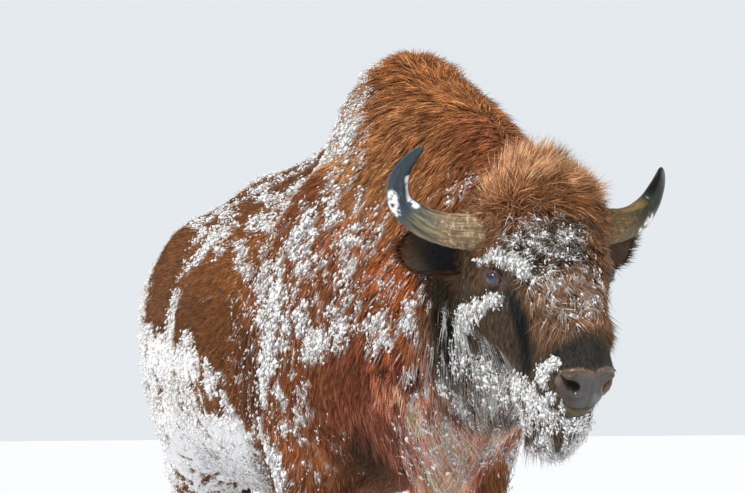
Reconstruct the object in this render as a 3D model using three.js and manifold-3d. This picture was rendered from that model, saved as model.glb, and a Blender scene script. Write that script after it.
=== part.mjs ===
// A life-size European bison bull, standing still on its four feet with the head carried low and turned a
// little to its left. The solids reach to the tips of the winter coat. Everything is in millimetres.
// While it is modelled, X runs forward from the top of the hump, Y to the animal's left and Z up from the
// floor. At the end the whole animal is moved, so that the origin is under the middle of its outline.
import * as THREE from 'three';
import { mergeVertices } from 'three/addons/utils/BufferGeometryUtils.js';
import Module from 'manifold-3d';

const wasm = await Module();
wasm.setup();

// ---------------------------------------------------------------- driving dimensions

const GAP = 0.5; // clearance between two parts that meet
const HUMP_HEIGHT = 1800;
const EYE_HEIGHT = 1268;
const EYE_REACH = 930; // from the hump forward to the eyes
const HEAD_SHIFT = 70; // of the eyes to the left of the spine
const HEAD_YAW = THREE.MathUtils.degToRad(5.5);
const HEAD_DROOP = THREE.MathUtils.degToRad(46); // of the line from eye to nostril, below level
const HEAD_ROLL = THREE.MathUtils.degToRad(2.2); // left side up
const CORONET_HEIGHT = 78;
const FORE_STANCE = 175; // sideways from the spine to a forefoot
const HIND_STANCE = 145;

const COLOURS = {
  coat: 0x7a4426,
  mane: 0x8a4f2a,
  face: 0x4a3426,
  muzzle: 0x3a3532,
  beard: 0x3d2f28,
  leg: 0x5a3a26,
  horn: 0x6f6a55,
  hoof: 0x2b2622,
  eye: 0x1a1418,
};

// ---------------------------------------------------------------- distance fields

const clamp = (value, low, high) => Math.min(Math.max(value, low), high);

// The lower of two distances, with a fillet of about the given radius where they meet.
function fillet(a, b, radius) {
  const near = Math.max(radius - Math.abs(a - b), 0) / radius;
  return Math.min(a, b) - (near * near * radius) / 4;
}

// An ellipsoid, tipped about the sideways axis by a number of degrees, nose down.
function mass([cx, cy, cz], [rx, ry, rz], tip = 0) {
  const cos = Math.cos(THREE.MathUtils.degToRad(tip));
  const sin = Math.sin(THREE.MathUtils.degToRad(tip));
  return (x, y, z) => {
    const forward = (x - cx) * cos - (z - cz) * sin;
    const rise = (x - cx) * sin + (z - cz) * cos;
    const side = y - cy;
    const reach = Math.hypot(forward / rx, side / ry, rise / rz);
    const slope = Math.hypot(forward / (rx * rx), side / (ry * ry), rise / (rz * rz));
    return slope < 1e-9 ? -Math.min(rx, ry, rz) : (reach * (reach - 1)) / slope;
  };
}

// A tapered bone with its flesh, between two points, each with its own radius.
function bone([ax, ay, az, ra], [bx, by, bz, rb]) {
  const [dx, dy, dz] = [bx - ax, by - ay, bz - az];
  const square = dx * dx + dy * dy + dz * dz;
  return (x, y, z) => {
    const t = clamp(((x - ax) * dx + (y - ay) * dy + (z - az) * dz) / square, 0, 1);
    return Math.hypot(x - ax - t * dx, y - ay - t * dy, z - az - t * dz) - (ra + t * (rb - ra));
  };
}

// A chain of such bones through a list of joints.
const limb = (joints) => joints.slice(1).map((joint, i) => bone(joints[i], joint));

// Many shapes joined into one, all with the same fillet.
function joined(shapes, radius) {
  return (x, y, z) => shapes.reduce((d, shape) => fillet(d, shape(x, y, z), radius), 1e6);
}

// A smooth curve through (place, value) pairs, level past both ends.
function profile(places, values) {
  const last = places.length - 1;
  const slope = values.map((value, i) => {
    const before = Math.max(i - 1, 0);
    const after = Math.min(i + 1, last);
    return (values[after] - values[before]) / (places[after] - places[before]);
  });
  return (x) => {
    const at = clamp(x, places[0], places[last]);
    let i = 0;
    while (i < last - 1 && at > places[i + 1]) i += 1;
    const span = places[i + 1] - places[i];
    const t = (at - places[i]) / span;
    const back = 1 - t;
    return (
      values[i] * back * back * (1 + 2 * t) + slope[i] * span * t * back * back +
      values[i + 1] * t * t * (3 - 2 * t) - slope[i + 1] * span * t * t * back
    );
  };
}

// ---------------------------------------------------------------- trunk and neck

// Cross-sections from the pin bones to the nape. x: place; ridge: top of the spine's ridge of long hair and
// processes; back: top of the barrel; belly: lowest line; half: half the barrel's width; ridgeHalf: half the
// ridge's width; shift: sideways bend of the neck.
const SECTIONS = {
  pinBones: { x: -1340, ridge: 1368, back: 1340, belly: 1060, half: 155, ridgeHalf: 90, shift: 0 },
  croup: { x: -1150, ridge: 1488, back: 1440, belly: 895, half: 255, ridgeHalf: 120, shift: 0 },
  hips: { x: -970, ridge: 1524, back: 1465, belly: 762, half: 310, ridgeHalf: 125, shift: 0 },
  loin: { x: -755, ridge: 1545, back: 1488, belly: 720, half: 365, ridgeHalf: 135, shift: 0 },
  barrel: { x: -500, ridge: 1580, back: 1508, belly: 714, half: 396, ridgeHalf: 145, shift: 0 },
  girth: { x: -225, ridge: 1676, back: 1515, belly: 740, half: 362, ridgeHalf: 160, shift: 0 },
  withers: { x: 0, ridge: HUMP_HEIGHT, back: 1530, belly: 775, half: 330, ridgeHalf: 185, shift: 0 },
  shoulder: { x: 220, ridge: 1778, back: 1530, belly: 800, half: 300, ridgeHalf: 205, shift: 4 },
  neckBase: { x: 430, ridge: 1708, back: 1490, belly: 850, half: 262, ridgeHalf: 182, shift: 14 },
  neckMiddle: { x: 620, ridge: 1630, back: 1430, belly: 940, half: 218, ridgeHalf: 148, shift: 38 },
  nape: { x: 780, ridge: 1545, back: 1370, belly: 1030, half: 172, ridgeHalf: 128, shift: 60 },
};
const RIDGE_DEPTH = 0.44; // half the height of the ridge's own section, as a share of the body's height
const WIDEST_AT = 0.42; // of the barrel's height, from below
const BARREL_FULLNESS = 2.15; // 2 is an ellipse, more is boxier

const stations = Object.values(SECTIONS);
const along = (key) => profile(stations.map((s) => s.x), stations.map((s) => s[key]));
const section = {
  ridge: along('ridge'),
  back: along('back'),
  belly: along('belly'),
  half: along('half'),
  ridgeHalf: along('ridgeHalf'),
  shift: along('shift'),
};

// Distance to a flat oval with the given half-width and half-height.
function oval(side, rise, half, height, fullness) {
  const u = Math.abs(side) / half;
  const v = Math.abs(rise) / height;
  const reach = Math.pow(Math.pow(u, fullness) + Math.pow(v, fullness), 1 / fullness);
  const away = Math.hypot(side, rise);
  return reach < 1e-6 ? -Math.min(half, height) : away - away / reach;
}

function torso(x, y, z) {
  const side = y - section.shift(x);
  const [back, belly, ridge] = [section.back(x), section.belly(x), section.ridge(x)];
  const widest = belly + WIDEST_AT * (back - belly);
  const height = z > widest ? back - widest : widest - belly;
  const barrel = oval(side, z - widest, section.half(x), height, BARREL_FULLNESS);
  const deep = RIDGE_DEPTH * (ridge - belly);
  const spine = oval(side, z - ridge + deep, section.ridgeHalf(x), deep, 2);
  const wall = fillet(barrel, spine, 90);
  const past = Math.max(stations[0].x - x, x - stations.at(-1).x, 0);
  return past > 0 ? Math.hypot(Math.max(wall, 0), past) : wall;
}

const torsoMasses = [
  mass([50, -200, 1200], [225, 130, 320], 12), // right shoulder blade
  mass([40, 185, 1200], [225, 130, 320], 12),
  mass([-1100, -188, 1100], [275, 132, 295], -14), // right haunch
  mass([-1100, 188, 1100], [275, 132, 295], -14),
  mass([-1250, 0, 1215], [170, 205, 165]), // rump below the tail
  mass([285, 18, 965], [185, 118, 275]), // brisket and its fringe
  mass([420, 5, 1190], [190, 180, 240]), // front of the chest
  mass([620, 38, 1135], [160, 105, 165], 28), // throat mane
];
const LEFT = 1;
const RIGHT = -1;

// ---------------------------------------------------------------- legs

// Each joint is [x, y, z, radius]. The offset moves the foot forward, and the upper joints less.
const foreLeg = (side, offset, stance) => [
  [25, side * (stance + 22), 1010, 125],
  [-28 + 0.3 * offset, side * (stance + 16), 880, 106],
  [-4 + 0.7 * offset, side * (stance + 8), 690, 80],
  [12 + 0.85 * offset, side * (stance + 3), 520, 66],
  [14 + 0.9 * offset, side * stance, 462, 58],
  [12 + offset, side * stance, 330, 47],
  [12 + offset, side * stance, 225, 55],
  [42 + offset, side * stance, 120, 48],
  [52 + offset, side * stance, 40, 52],
];
const hindLeg = (side, offset, stance) => [
  [-1000, side * 172, 1060, 155],
  [-985 + 0.3 * offset, side * (stance + 34), 915, 132],
  [-1082 + 0.6 * offset, side * (stance + 16), 765, 98],
  [-1212 + 0.9 * offset, side * (stance + 4), 622, 66],
  [-1238 + 0.95 * offset, side * stance, 560, 63],
  [-1226 + offset, side * stance, 440, 51],
  [-1204 + offset, side * stance, 300, 47],
  [-1198 + offset, side * stance, 222, 56],
  [-1168 + offset, side * stance, 120, 49],
  [-1158 + offset, side * stance, 40, 53],
];
const LEGS = {
  fore_right: { side: RIGHT, joints: foreLeg(RIGHT, 24, FORE_STANCE + 22), fore: true },
  fore_left: { side: LEFT, joints: foreLeg(LEFT, -36, FORE_STANCE + 5), fore: true },
  hind_right: { side: RIGHT, joints: hindLeg(RIGHT, -40, HIND_STANCE), fore: false },
  hind_left: { side: LEFT, joints: hindLeg(LEFT, 50, HIND_STANCE), fore: false },
};

// ---------------------------------------------------------------- head

// The head has its own frame, with its origin midway between the eyes: along runs from there towards the
// nostrils, left sideways, and out square to the face. Points in it are [along, left, out].
const headAxes = (() => {
  const forward = new THREE.Vector3(Math.cos(HEAD_YAW), Math.sin(HEAD_YAW), 0);
  const up = new THREE.Vector3(0, 0, 1);
  const left = new THREE.Vector3(-Math.sin(HEAD_YAW), Math.cos(HEAD_YAW), 0);
  const [cos, sin] = [Math.cos(HEAD_DROOP), Math.sin(HEAD_DROOP)];
  const along = forward.clone().multiplyScalar(cos).addScaledVector(up, -sin);
  const out = forward.clone().multiplyScalar(sin).addScaledVector(up, cos);
  [along, left, out].forEach((axis) => axis.applyAxisAngle(forward, HEAD_ROLL));
  return { along, left, out, forward };
})();
const headOrigin = new THREE.Vector3(EYE_REACH, HEAD_SHIFT, EYE_HEIGHT);

// A point or direction of the head's frame in the animal's frame.
function headDirection([along, left, out]) {
  return new THREE.Vector3()
    .addScaledVector(headAxes.along, along)
    .addScaledVector(headAxes.left, left)
    .addScaledVector(headAxes.out, out);
}
const headPoint = (place) => headDirection(place).add(headOrigin);

// A shape given in the head's frame, as a shape of the animal's frame.
function onHead(shape) {
  const { along, left, out } = headAxes;
  return (x, y, z) => {
    const [dx, dy, dz] = [x - headOrigin.x, y - headOrigin.y, z - headOrigin.z];
    return shape(
      dx * along.x + dy * along.y + dz * along.z,
      dx * left.x + dy * left.y + dz * left.z,
      dx * out.x + dy * out.y + dz * out.z,
    );
  };
}

const skull = joined([
  mass([-100, 0, 10], [178, 148, 108]), // forehead and cranium
  mass([-170, 8, 74], [120, 144, 112], -12), // crown of long hair between the horns
  mass([-20, 0, 58], [145, 110, 68], 6), // hair of the forehead
  mass([105, 0, 42], [150, 92, 58], 8), // hair of the nose bridge
  bone([0, 0, 5, 101], [225, 0, -8, 66]), // nose bridge
  bone([-70, 0, -135, 100], [245, 0, -92, 42]), // lower jaw
  mass([-25, -84, -92], [150, 62, 112], -8), // right cheek
  mass([-25, 84, -92], [150, 62, 112], -8),
  mass([-12, -112, 10], [66, 40, 50]), // right orbit
  mass([-12, 112, 10], [66, 40, 50]),
  mass([-118, -112, 34], [60, 48, 54]), // right horn core
  mass([-118, 112, 34], [60, 48, 54]),
], 34);
const nose = joined([
  mass([268, 0, -20], [62, 61, 54]), // upper lip and nose pad
  mass([292, -38, -17], [36, 28, 34]), // right nostril wing
  mass([292, 38, -17], [36, 28, 34]),
  mass([298, 0, -47], [34, 54, 35]), // front of the upper lip
  mass([250, 0, -97], [54, 46, 31]), // chin
], 20);
const head = onHead(joined([skull, nose], 26));

// The beard hangs plumb, whatever the head's droop.
const beardMass = (() => {
  const middle = headOrigin.clone().addScaledVector(headAxes.forward, 20);
  return mass([middle.x, middle.y, EYE_HEIGHT - 262], [160, 84, 152], 10);
})();

// ---------------------------------------------------------------- the whole body as one field

const legField = joined(Object.values(LEGS).flatMap(({ joints }) => limb(joints)), 26);
const torsoField = joined([torso, ...torsoMasses], 70);
const headField = joined([head, beardMass], 45);

function body(x, y, z) {
  const standing = fillet(torsoField(x, y, z), legField(x, y, z), 55);
  return fillet(standing, headField(x, y, z), 60);
}

// ---------------------------------------------------------------- from field to mesh

const AXES = [0, 1, 2];

// A closed surface of a field inside a box, with one vertex in each cell that the surface crosses.
function surfaceNet(field, low, high, cell) {
  const count = AXES.map((k) => Math.ceil((high[k] - low[k]) / cell[k]) + 3);
  const place = (k, i) => low[k] + (i - 1) * cell[k];
  const index = (i, j, k) => (k * count[1] + j) * count[0] + i;
  const inBox = (p) => Math.max(...AXES.map((k) => Math.max(low[k] - p[k], p[k] - high[k])));
  const value = new Float64Array(count[0] * count[1] * count[2]);
  for (let k = 0; k < count[2]; k += 1) {
    for (let j = 0; j < count[1]; j += 1) {
      for (let i = 0; i < count[0]; i += 1) {
        const p = [place(0, i), place(1, j), place(2, k)];
        value[index(i, j, k)] = Math.max(field(...p), inBox(p));
      }
    }
  }
  const positions = [];
  const vertexOf = new Map();
  const corners = [];
  for (let c = 0; c < 8; c += 1) corners.push([c & 1, (c >> 1) & 1, (c >> 2) & 1]);
  const edges = [];
  corners.forEach((a, i) => corners.forEach((b, j) => {
    if (i < j && AXES.filter((k) => a[k] !== b[k]).length === 1) edges.push([a, b]);
  }));
  for (let k = 0; k < count[2] - 1; k += 1) {
    for (let j = 0; j < count[1] - 1; j += 1) {
      for (let i = 0; i < count[0] - 1; i += 1) {
        const crossings = [];
        for (const [a, b] of edges) {
          const va = value[index(i + a[0], j + a[1], k + a[2])];
          const vb = value[index(i + b[0], j + b[1], k + b[2])];
          if (va < 0 === vb < 0) continue;
          const t = va / (va - vb);
          const cellAt = [i, j, k];
          crossings.push(AXES.map((m) => place(m, cellAt[m] + a[m] + t * (b[m] - a[m]))));
        }
        if (!crossings.length) continue;
        const sum = AXES.map((m) => crossings.reduce((total, p) => total + p[m], 0));
        vertexOf.set(index(i, j, k), positions.length / 3);
        positions.push(...onto(field, sum.map((s) => s / crossings.length), inBox, cell));
      }
    }
  }
  const triangles = [];
  for (let k = 1; k < count[2] - 1; k += 1) {
    for (let j = 1; j < count[1] - 1; j += 1) {
      for (let i = 1; i < count[0] - 1; i += 1) {
        for (const m of AXES) {
          const next = [i, j, k];
          next[m] += 1;
          const inside = value[index(i, j, k)] < 0;
          if (inside === value[index(...next)] < 0) continue;
          const around = [[0, 0], [-1, 0], [-1, -1], [0, -1]].map(([s, t]) => {
            const at = [i, j, k];
            at[(m + 1) % 3] += s;
            at[(m + 2) % 3] += t;
            return vertexOf.get(index(...at));
          });
          const [a, b, c, d] = inside ? around : around.reverse();
          triangles.push(a, b, c, a, c, d);
        }
      }
    }
  }
  return { positions: new Float32Array(positions), triangles: new Uint32Array(triangles) };
}

// A point near the field's surface, moved onto it, unless it lies on the wall of the box.
function onto(field, point, inBox, cell) {
  const step = 0.5;
  let p = point;
  for (let pass = 0; pass < 3; pass += 1) {
    const d = field(...p);
    if (inBox(p) > -0.3 * Math.min(...cell) || Math.abs(d) > Math.max(...cell)) return point;
    const slope = AXES.map((m) => {
      const ahead = [...p];
      ahead[m] += step;
      return (field(...ahead) - d) / step;
    });
    const square = slope.reduce((total, s) => total + s * s, 1e-9);
    const from = p;
    p = AXES.map((m) => clamp(from[m] - (d * slope[m]) / square, point[m] - cell[m] / 3, point[m] + cell[m] / 3));
  }
  return p;
}

// ---------------------------------------------------------------- solids, joins and cuts

function solidOf(geometry) {
  const bare = geometry.clone();
  bare.deleteAttribute('normal');
  bare.deleteAttribute('uv');
  const merged = mergeVertices(bare, 1e-3);
  return new wasm.Manifold(new wasm.Mesh({
    numProp: 3,
    vertProperties: merged.attributes.position.array,
    triVerts: new Uint32Array(merged.index.array),
  }));
}

// Whether no edge is shared by more than two triangles.
function isClean(triangles, count) {
  const seen = new Set();
  for (let i = 0; i < triangles.length; i += 1) {
    const next = i % 3 === 2 ? i - 2 : i + 1;
    seen.add(triangles[i] * count + triangles[next]);
  }
  return seen.size === triangles.length;
}

// The surface net of a field, on the first grid that gives a clean one as the grid is moved a little.
function cleanNet(field, low, high, cell) {
  for (let step = 0; step < 12; step += 1) {
    const start = AXES.map((m) => low[m] - 0.083 * step * cell[m]);
    const net = surfaceNet(field, start, high, cell);
    if (isClean(net.triangles, net.positions.length)) return net;
  }
  throw new Error('no clean net: use a smaller cell');
}

function netSolid(field, low, high, cell) {
  const { positions, triangles } = cleanNet(field, low, high, cell);
  return new wasm.Manifold(new wasm.Mesh({
    numProp: 3,
    vertProperties: positions,
    triVerts: triangles,
  }));
}

// A great block filling the side of a plane that its normal points to.
const BLOCK = 6000;
function halfSpace(point, normal, grow = 0) {
  const direction = new THREE.Vector3(...normal).normalize();
  const turn = new THREE.Quaternion().setFromUnitVectors(new THREE.Vector3(0, 0, 1), direction);
  const centre = new THREE.Vector3(...point).addScaledVector(direction, BLOCK / 2 - grow);
  const block = new THREE.BoxGeometry(BLOCK, BLOCK, BLOCK).applyQuaternion(turn);
  return solidOf(block.translate(...centre));
}

// The space common to several half-spaces, each a [point, normal] pair, with every wall moved out by grow.
function region(planes, grow) {
  return planes
    .map(([point, normal]) => halfSpace(point, normal, grow))
    .reduce((space, next) => space.intersect(next));
}

function geometryOf(solid) {
  const { vertProperties, triVerts, numProp } = solid.getMesh();
  const places = new Float32Array((vertProperties.length / numProp) * 3);
  for (let i = 0; i < places.length / 3; i += 1) {
    places.set(vertProperties.subarray(i * numProp, i * numProp + 3), i * 3);
  }
  const geometry = new THREE.BufferGeometry();
  geometry.setAttribute('position', new THREE.BufferAttribute(places, 3));
  geometry.setIndex(new THREE.BufferAttribute(triVerts, 1));
  return geometry.toNonIndexed();
}

const bison = new THREE.Group();
const placed = {};

function add(name, solid, colour, roughness = 0.9) {
  const geometry = geometryOf(solid);
  geometry.computeVertexNormals();
  const mesh = new THREE.Mesh(
    geometry,
    new THREE.MeshStandardMaterial({ color: colour, roughness, metalness: 0 }),
  );
  mesh.name = name;
  bison.add(mesh);
  placed[name] = mesh;
}

// A closed skin over rings of points, each ring a list of Vector3, all with the same even number of points.
// The end caps are ladders between one half of the ring and the other, so that a ring may be a crescent.
function loft(rings) {
  const size = rings[0].length;
  const end = (rings.length - 1) * size;
  const indices = [];
  for (let i = 0; i < size; i += 1) {
    const j = (i + 1) % size;
    for (let low = 0; low < end; low += size) {
      const high = low + size;
      indices.push(low + i, low + j, high + j, low + i, high + j, high + i);
    }
  }
  for (let i = 0; i < size / 2; i += 1) {
    const [a, b, c, d] = [i, i + 1, size - i - 1, (size - i) % size];
    if (b !== c) indices.push(a, c, b, end + a, end + b, end + c);
    if (a !== d) indices.push(a, d, c, end + a, end + c, end + d);
  }
  const geometry = new THREE.BufferGeometry().setFromPoints(rings.flat());
  geometry.setIndex(indices);
  const solid = solidOf(geometry);
  if (solid.volume() > 0) return solid;
  geometry.setIndex(indices.map((_, i) => indices[i - (i % 3) + [0, 2, 1][i % 3]]));
  return solidOf(geometry);
}

// The rings with one more before the first, so that a grown copy is longer at its root too.
function rooted(rings, grow) {
  if (!grow) return rings;
  const [first, second] = rings.map((ring) => ring
    .reduce((total, p) => total.add(p), new THREE.Vector3()).divideScalar(ring.length));
  const back = first.clone().sub(second).setLength(2 * grow);
  return [rings[0].map((p) => p.clone().add(back)), ...rings];
}

// Rings of a round bar along a smooth curve, whose radius is a function of the place on it, from 0 to 1.
function barRings(points, radiusAt, sides, steps, facing) {
  const curve = new THREE.CatmullRomCurve3(points, false, 'centripetal');
  const rings = [];
  for (let s = 0; s <= steps; s += 1) {
    const t = s / steps;
    const centre = curve.getPointAt(t);
    const tangent = curve.getTangentAt(t);
    const across = new THREE.Vector3().crossVectors(tangent, facing).normalize();
    const over = new THREE.Vector3().crossVectors(tangent, across);
    const ring = [];
    for (let i = 0; i < sides; i += 1) {
      const angle = (i / sides) * 2 * Math.PI;
      ring.push(centre.clone()
        .addScaledVector(across, radiusAt(t) * Math.cos(angle))
        .addScaledVector(over, radiusAt(t) * Math.sin(angle)));
    }
    rings.push(ring);
  }
  return rings;
}

function ball([x, y, z], [rx, ry, rz], across = 14, around = 10) {
  const sphere = new THREE.SphereGeometry(1, across, around);
  return solidOf(sphere.scale(rx, ry, rz).translate(x, y, z));
}

// A ball with its own three radii along the head's axes.
function headBall(place, [alongR, leftR, outR], across = 14, around = 10) {
  const { along, left, out } = headAxes;
  const sphere = new THREE.SphereGeometry(1, across, around).scale(alongR, leftR, outR);
  const turn = new THREE.Matrix4().makeBasis(along, left, out).setPosition(headPoint(place));
  return solidOf(sphere.applyMatrix4(turn));
}

// ---------------------------------------------------------------- horns, ears, eyes and tail

// The right horn stands a little higher than the left.
const HORN_BASE = 43; // radius
const HORN_PATH = [
  [-104, 108, 34], [-116, 168, 33], [-135, 216, 20], [-165, 266, 13],
  [-203, 308, 25], [-221, 322, 66], [-219, 315, 118], [-204, 296, 172],
];
const HORN_RISE = { [RIGHT]: 38, [LEFT]: -32 };

function horn(side, grow) {
  const last = HORN_PATH.length - 1;
  const points = HORN_PATH.map(([along, left, out], i) => {
    const raise = HORN_RISE[side] * (i / last) ** 2;
    return headPoint([along, side * left, out]).add(new THREE.Vector3(0, 0, raise));
  });
  const radius = (t) => HORN_BASE * (1 - t) ** 0.58 + 3 + grow;
  return loft(rooted(barRings(points, radius, 10, 12, headAxes.forward), grow));
}

// A cupped leaf, open to the front, hanging a little below level from behind the horn.
const EAR = { base: [-122, 124, -46], tip: [-184, 300, -88], half: 65, cup: 36, thick: 13 };

function ear(side, grow) {
  const mirrored = ([along, left, out]) => [along, side * left, out];
  const tip = headPoint(mirrored(EAR.tip));
  const base = headPoint(mirrored(EAR.base));
  const run = tip.clone().sub(base);
  const back = headAxes.forward.clone().multiplyScalar(-1);
  const across = new THREE.Vector3().crossVectors(run, back).normalize();
  const behind = new THREE.Vector3().crossVectors(across, run).normalize();
  if (behind.dot(back) < 0) behind.negate();
  const rings = [];
  const steps = 8;
  const arc = 6;
  for (let s = 0; s <= steps; s += 1) {
    const t = s / steps;
    const width = EAR.half * (0.55 + 0.45 * Math.sin(Math.PI * Math.min(t * 0.9, 0.5))) *
      Math.sqrt(Math.max(1 - t ** 4.5, 0.02)) + grow;
    const cup = EAR.cup * Math.sqrt(Math.max(1 - t ** 2.5, 0.03));
    const wall = EAR.thick * (1.15 - 0.75 * t) + grow;
    const centre = base.clone().addScaledVector(run, t);
    const point = (angle, depth, reach) => centre.clone()
      .addScaledVector(across, reach * Math.sin(angle))
      .addScaledVector(behind, depth * Math.cos(angle) - cup / 2);
    const angles = Array.from({ length: arc + 1 }, (_, i) => (i / arc - 0.5) * Math.PI);
    const outer = angles.map((angle) => point(angle, cup + wall, width));
    const hollow = grow ? -4 * grow : cup - wall; // the socket is cut without the cup's hollow
    const inner = angles.slice(1, -1).reverse().map((angle) => point(angle, hollow, width * 0.86));
    rings.push([...outer, ...inner]);
  }
  return loft(rooted(rings, grow));
}

const EYE = { place: [2, 137, 4], radius: 21, opening: [27, 22, 18] };
const eyeAt = (side) => [EYE.place[0], side * EYE.place[1], EYE.place[2]];
const NOSTRIL = { place: [318, 41, -10], size: [24, 14, 13] };

const TAIL_PATH = [
  [-1315, 0, 1370], [-1390, 0, 1350], [-1448, 0, 1280], [-1468, 0, 1150],
  [-1470, 0, 1000], [-1466, 0, 850], [-1460, 0, 700], [-1456, 0, 600],
].map((p) => new THREE.Vector3(...p));
const TUFT_HEIGHT = 850; // where the tail's long brush starts

function tail(grow) {
  const radius = (t) => {
    const dock = 40 - 22 * Math.min(t / 0.6, 1);
    const brush = 34 * Math.sin(Math.PI * clamp((t - 0.58) / 0.42, 0, 1)) ** 0.8;
    return Math.max(dock * (t > 0.9 ? (1 - t) * 10 : 1), 0) + brush + 2 + grow;
  };
  return loft(rooted(barRings(TAIL_PATH, radius, 8, 14, new THREE.Vector3(0, 1, 0)), grow));
}

// ---------------------------------------------------------------- where one part ends and the next begins

// Each plane is [point, normal]; the space is the side that the normal points to.
const flip = ([point, normal]) => [point, normal.map((n) => -n)];
const headPlane = (place, direction) => [
  headPoint(place).toArray(),
  headDirection(direction).toArray(),
];
const NECK_BASE = [[365, 0, 1280], [1, 0, 0.13]];
const HEAD_BACK = headPlane([-285, 0, 120], [1, 0, 0.42]);
const UNDER_JAW = headPlane([60, 0, -188], [-0.25, 0, 0.968]); // the head's side of it
const BEARD_BACK = [
  headOrigin.clone().addScaledVector(headAxes.forward, -185).toArray(),
  headAxes.forward.toArray(),
];
const MUZZLE_BACK = headPlane([196, 0, 0], [1, 0, 0]);
const MOUTH = headPlane([260, 0, -74], [-0.14, 0, 0.99]); // the upper lip's side of it

const legSpace = ({ side, fore }) => (fore
  ? [
    [[0, side * 98, 0], [0, side, 0]],
    [[0, side * 98, 812], [0, side * 0.5, -0.866]],
    [[-135, 0, 800], [1, 0, -0.12]],
    [[330, 0, 800], [-1, 0, 0.1]],
  ]
  : [
    [[0, side * 2, 0], [0, side, 0]],
    [[-800, 0, 850], [-0.34, 0, -0.94]],
    [[-800, 0, 850], [-1, 0, -0.15]],
  ]);

const headSpace = [HEAD_BACK, UNDER_JAW];
const beardSpace = [HEAD_BACK, flip(UNDER_JAW), BEARD_BACK];
const keep = (solid, planes) => solid.intersect(region(planes, -GAP / 2));
const remove = (solid, planes) => solid.subtract(region(planes, GAP / 2));

// ---------------------------------------------------------------- building the parts

const SIDES = { right: RIGHT, left: LEFT };

function buildTrunk() {
  const whole = netSolid(body, [-1560, -460, 680], [520, 460, 1880], [118, 102, 94]);
  const legless = Object.values(LEGS).reduce((solid, leg) => remove(solid, legSpace(leg)), whole);
  const bare = keep(legless, [flip(NECK_BASE)]).subtract(tail(GAP));
  add('trunk', bare, COLOURS.coat);
}

function buildNeck() {
  const whole = netSolid(body, [250, -330, 690], [1150, 400, 1860], [94, 84, 88]);
  const front = keep(whole, [NECK_BASE]);
  const open = remove(remove(front, headSpace), beardSpace);
  add('neck', Object.values(LEGS).reduce((solid, leg) => remove(solid, legSpace(leg)), open), COLOURS.mane);
}

function headNet(low, high, cell) {
  const field = (along, left, out) => body(...headPoint([along, left, out]).toArray());
  const { positions, triangles } = cleanNet(field, low, high, cell);
  const world = new Float32Array(positions.length);
  for (let i = 0; i < positions.length; i += 3) {
    world.set(headPoint([...positions.subarray(i, i + 3)]).toArray(), i);
  }
  return new wasm.Manifold(new wasm.Mesh({ numProp: 3, vertProperties: world, triVerts: triangles }));
}

function buildHead() {
  let solid = headNet([-350, -320, -420], [225, 320, 240], [49, 46, 47]);
  solid = keep(solid, [...headSpace, flip(MUZZLE_BACK)]);
  for (const side of Object.values(SIDES)) {
    const [along, left, out] = eyeAt(side);
    solid = solid
      .subtract(horn(side, GAP))
      .subtract(ear(side, 2 * GAP))
      .subtract(headBall([along, left, out], [1, 1, 1].map((r) => r * (EYE.radius + 2 * GAP)), 10, 7))
      .subtract(headBall([along, left + side * 26, out], EYE.opening, 12, 8));
  }
  add('head', solid, COLOURS.face);
}

function buildMuzzle() {
  const whole = headNet([165, -115, -170], [360, 115, 80], [28, 25, 25]);
  const lips = keep(whole, [UNDER_JAW, MUZZLE_BACK]);
  const [along, left, out] = NOSTRIL.place;
  const bored = Object.values(SIDES).reduce(
    (solid, side) => solid.subtract(headBall([along, side * left, out], NOSTRIL.size, 10, 8)),
    keep(lips, [MOUTH]),
  );
  add('muzzle', bored, COLOURS.muzzle, 0.45);
  add('chin', keep(lips, [flip(MOUTH)]), COLOURS.muzzle, 0.6);
}

function buildBeard() {
  const whole = netSolid(body, [700, -90, 780], [1230, 260, 1180], [48, 44, 50]);
  add('beard', keep(whole, beardSpace), COLOURS.beard);
}

function buildLegs() {
  for (const [name, leg] of Object.entries(LEGS)) {
    const xs = leg.joints.map(([x]) => x);
    const low = [Math.min(...xs) - 240, leg.side > 0 ? -20 : -460, 0];
    const high = [Math.max(...xs) + 240, leg.side > 0 ? 460 : 20, 1180];
    const full = netSolid(body, low, high, [53, 50, 88]);
    let solid = keep(full, [...legSpace(leg), coronet(leg)]);
    solid = remove(solid, [NECK_BASE]);
    const dews = dewclaws(leg, GAP);
    solid = dews.reduce((rest, dew) => rest.subtract(dew), solid);
    add(`leg_${name}`, solid, COLOURS.leg);
  }
}

// The line where the hair ends and the hoof begins, higher in front than behind.
const coronet = ({ joints }) => [[joints.at(-1)[0], 0, CORONET_HEIGHT], [-0.16, 0, 1]];

// Two small claws behind each fetlock.
function dewclaws({ side, joints }, grow) {
  const [x, y, z, radius] = joints.at(-3);
  return [LEFT, RIGHT].map((half) => ball(
    [x - radius * 0.85, y + half * 24, z - 34],
    [19 + grow, 15 + grow, 26 + grow], 7, 4,
  ));
}

// One half of a cloven hoof: flat underneath, pointed in front, and narrower towards the coronet.
function claw(leg, half) {
  const [footX, footY] = leg.joints.at(-1);
  const sides = 10;
  const levels = [0, 18, CORONET_HEIGHT + 30];
  const rings = levels.map((z) => {
    const rise = z / CORONET_HEIGHT;
    const length = 66 - 13 * rise;
    const width = z === 0 ? 25 : 28 - 3.5 * rise;
    return Array.from({ length: sides }, (_, i) => {
      const angle = (i / sides) * 2 * Math.PI;
      const point = Math.cos(angle);
      const toe = 1 - 0.3 * Math.max(point, 0) ** 2;
      return new THREE.Vector3(
        footX + 14 - 15 * rise + length * point,
        footY + half * (29 - 5 * Math.max(point, 0)) + width * toe * Math.sin(angle),
        z,
      );
    });
  });
  return keep(loft(rings), [flip(coronet(leg))]);
}

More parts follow.
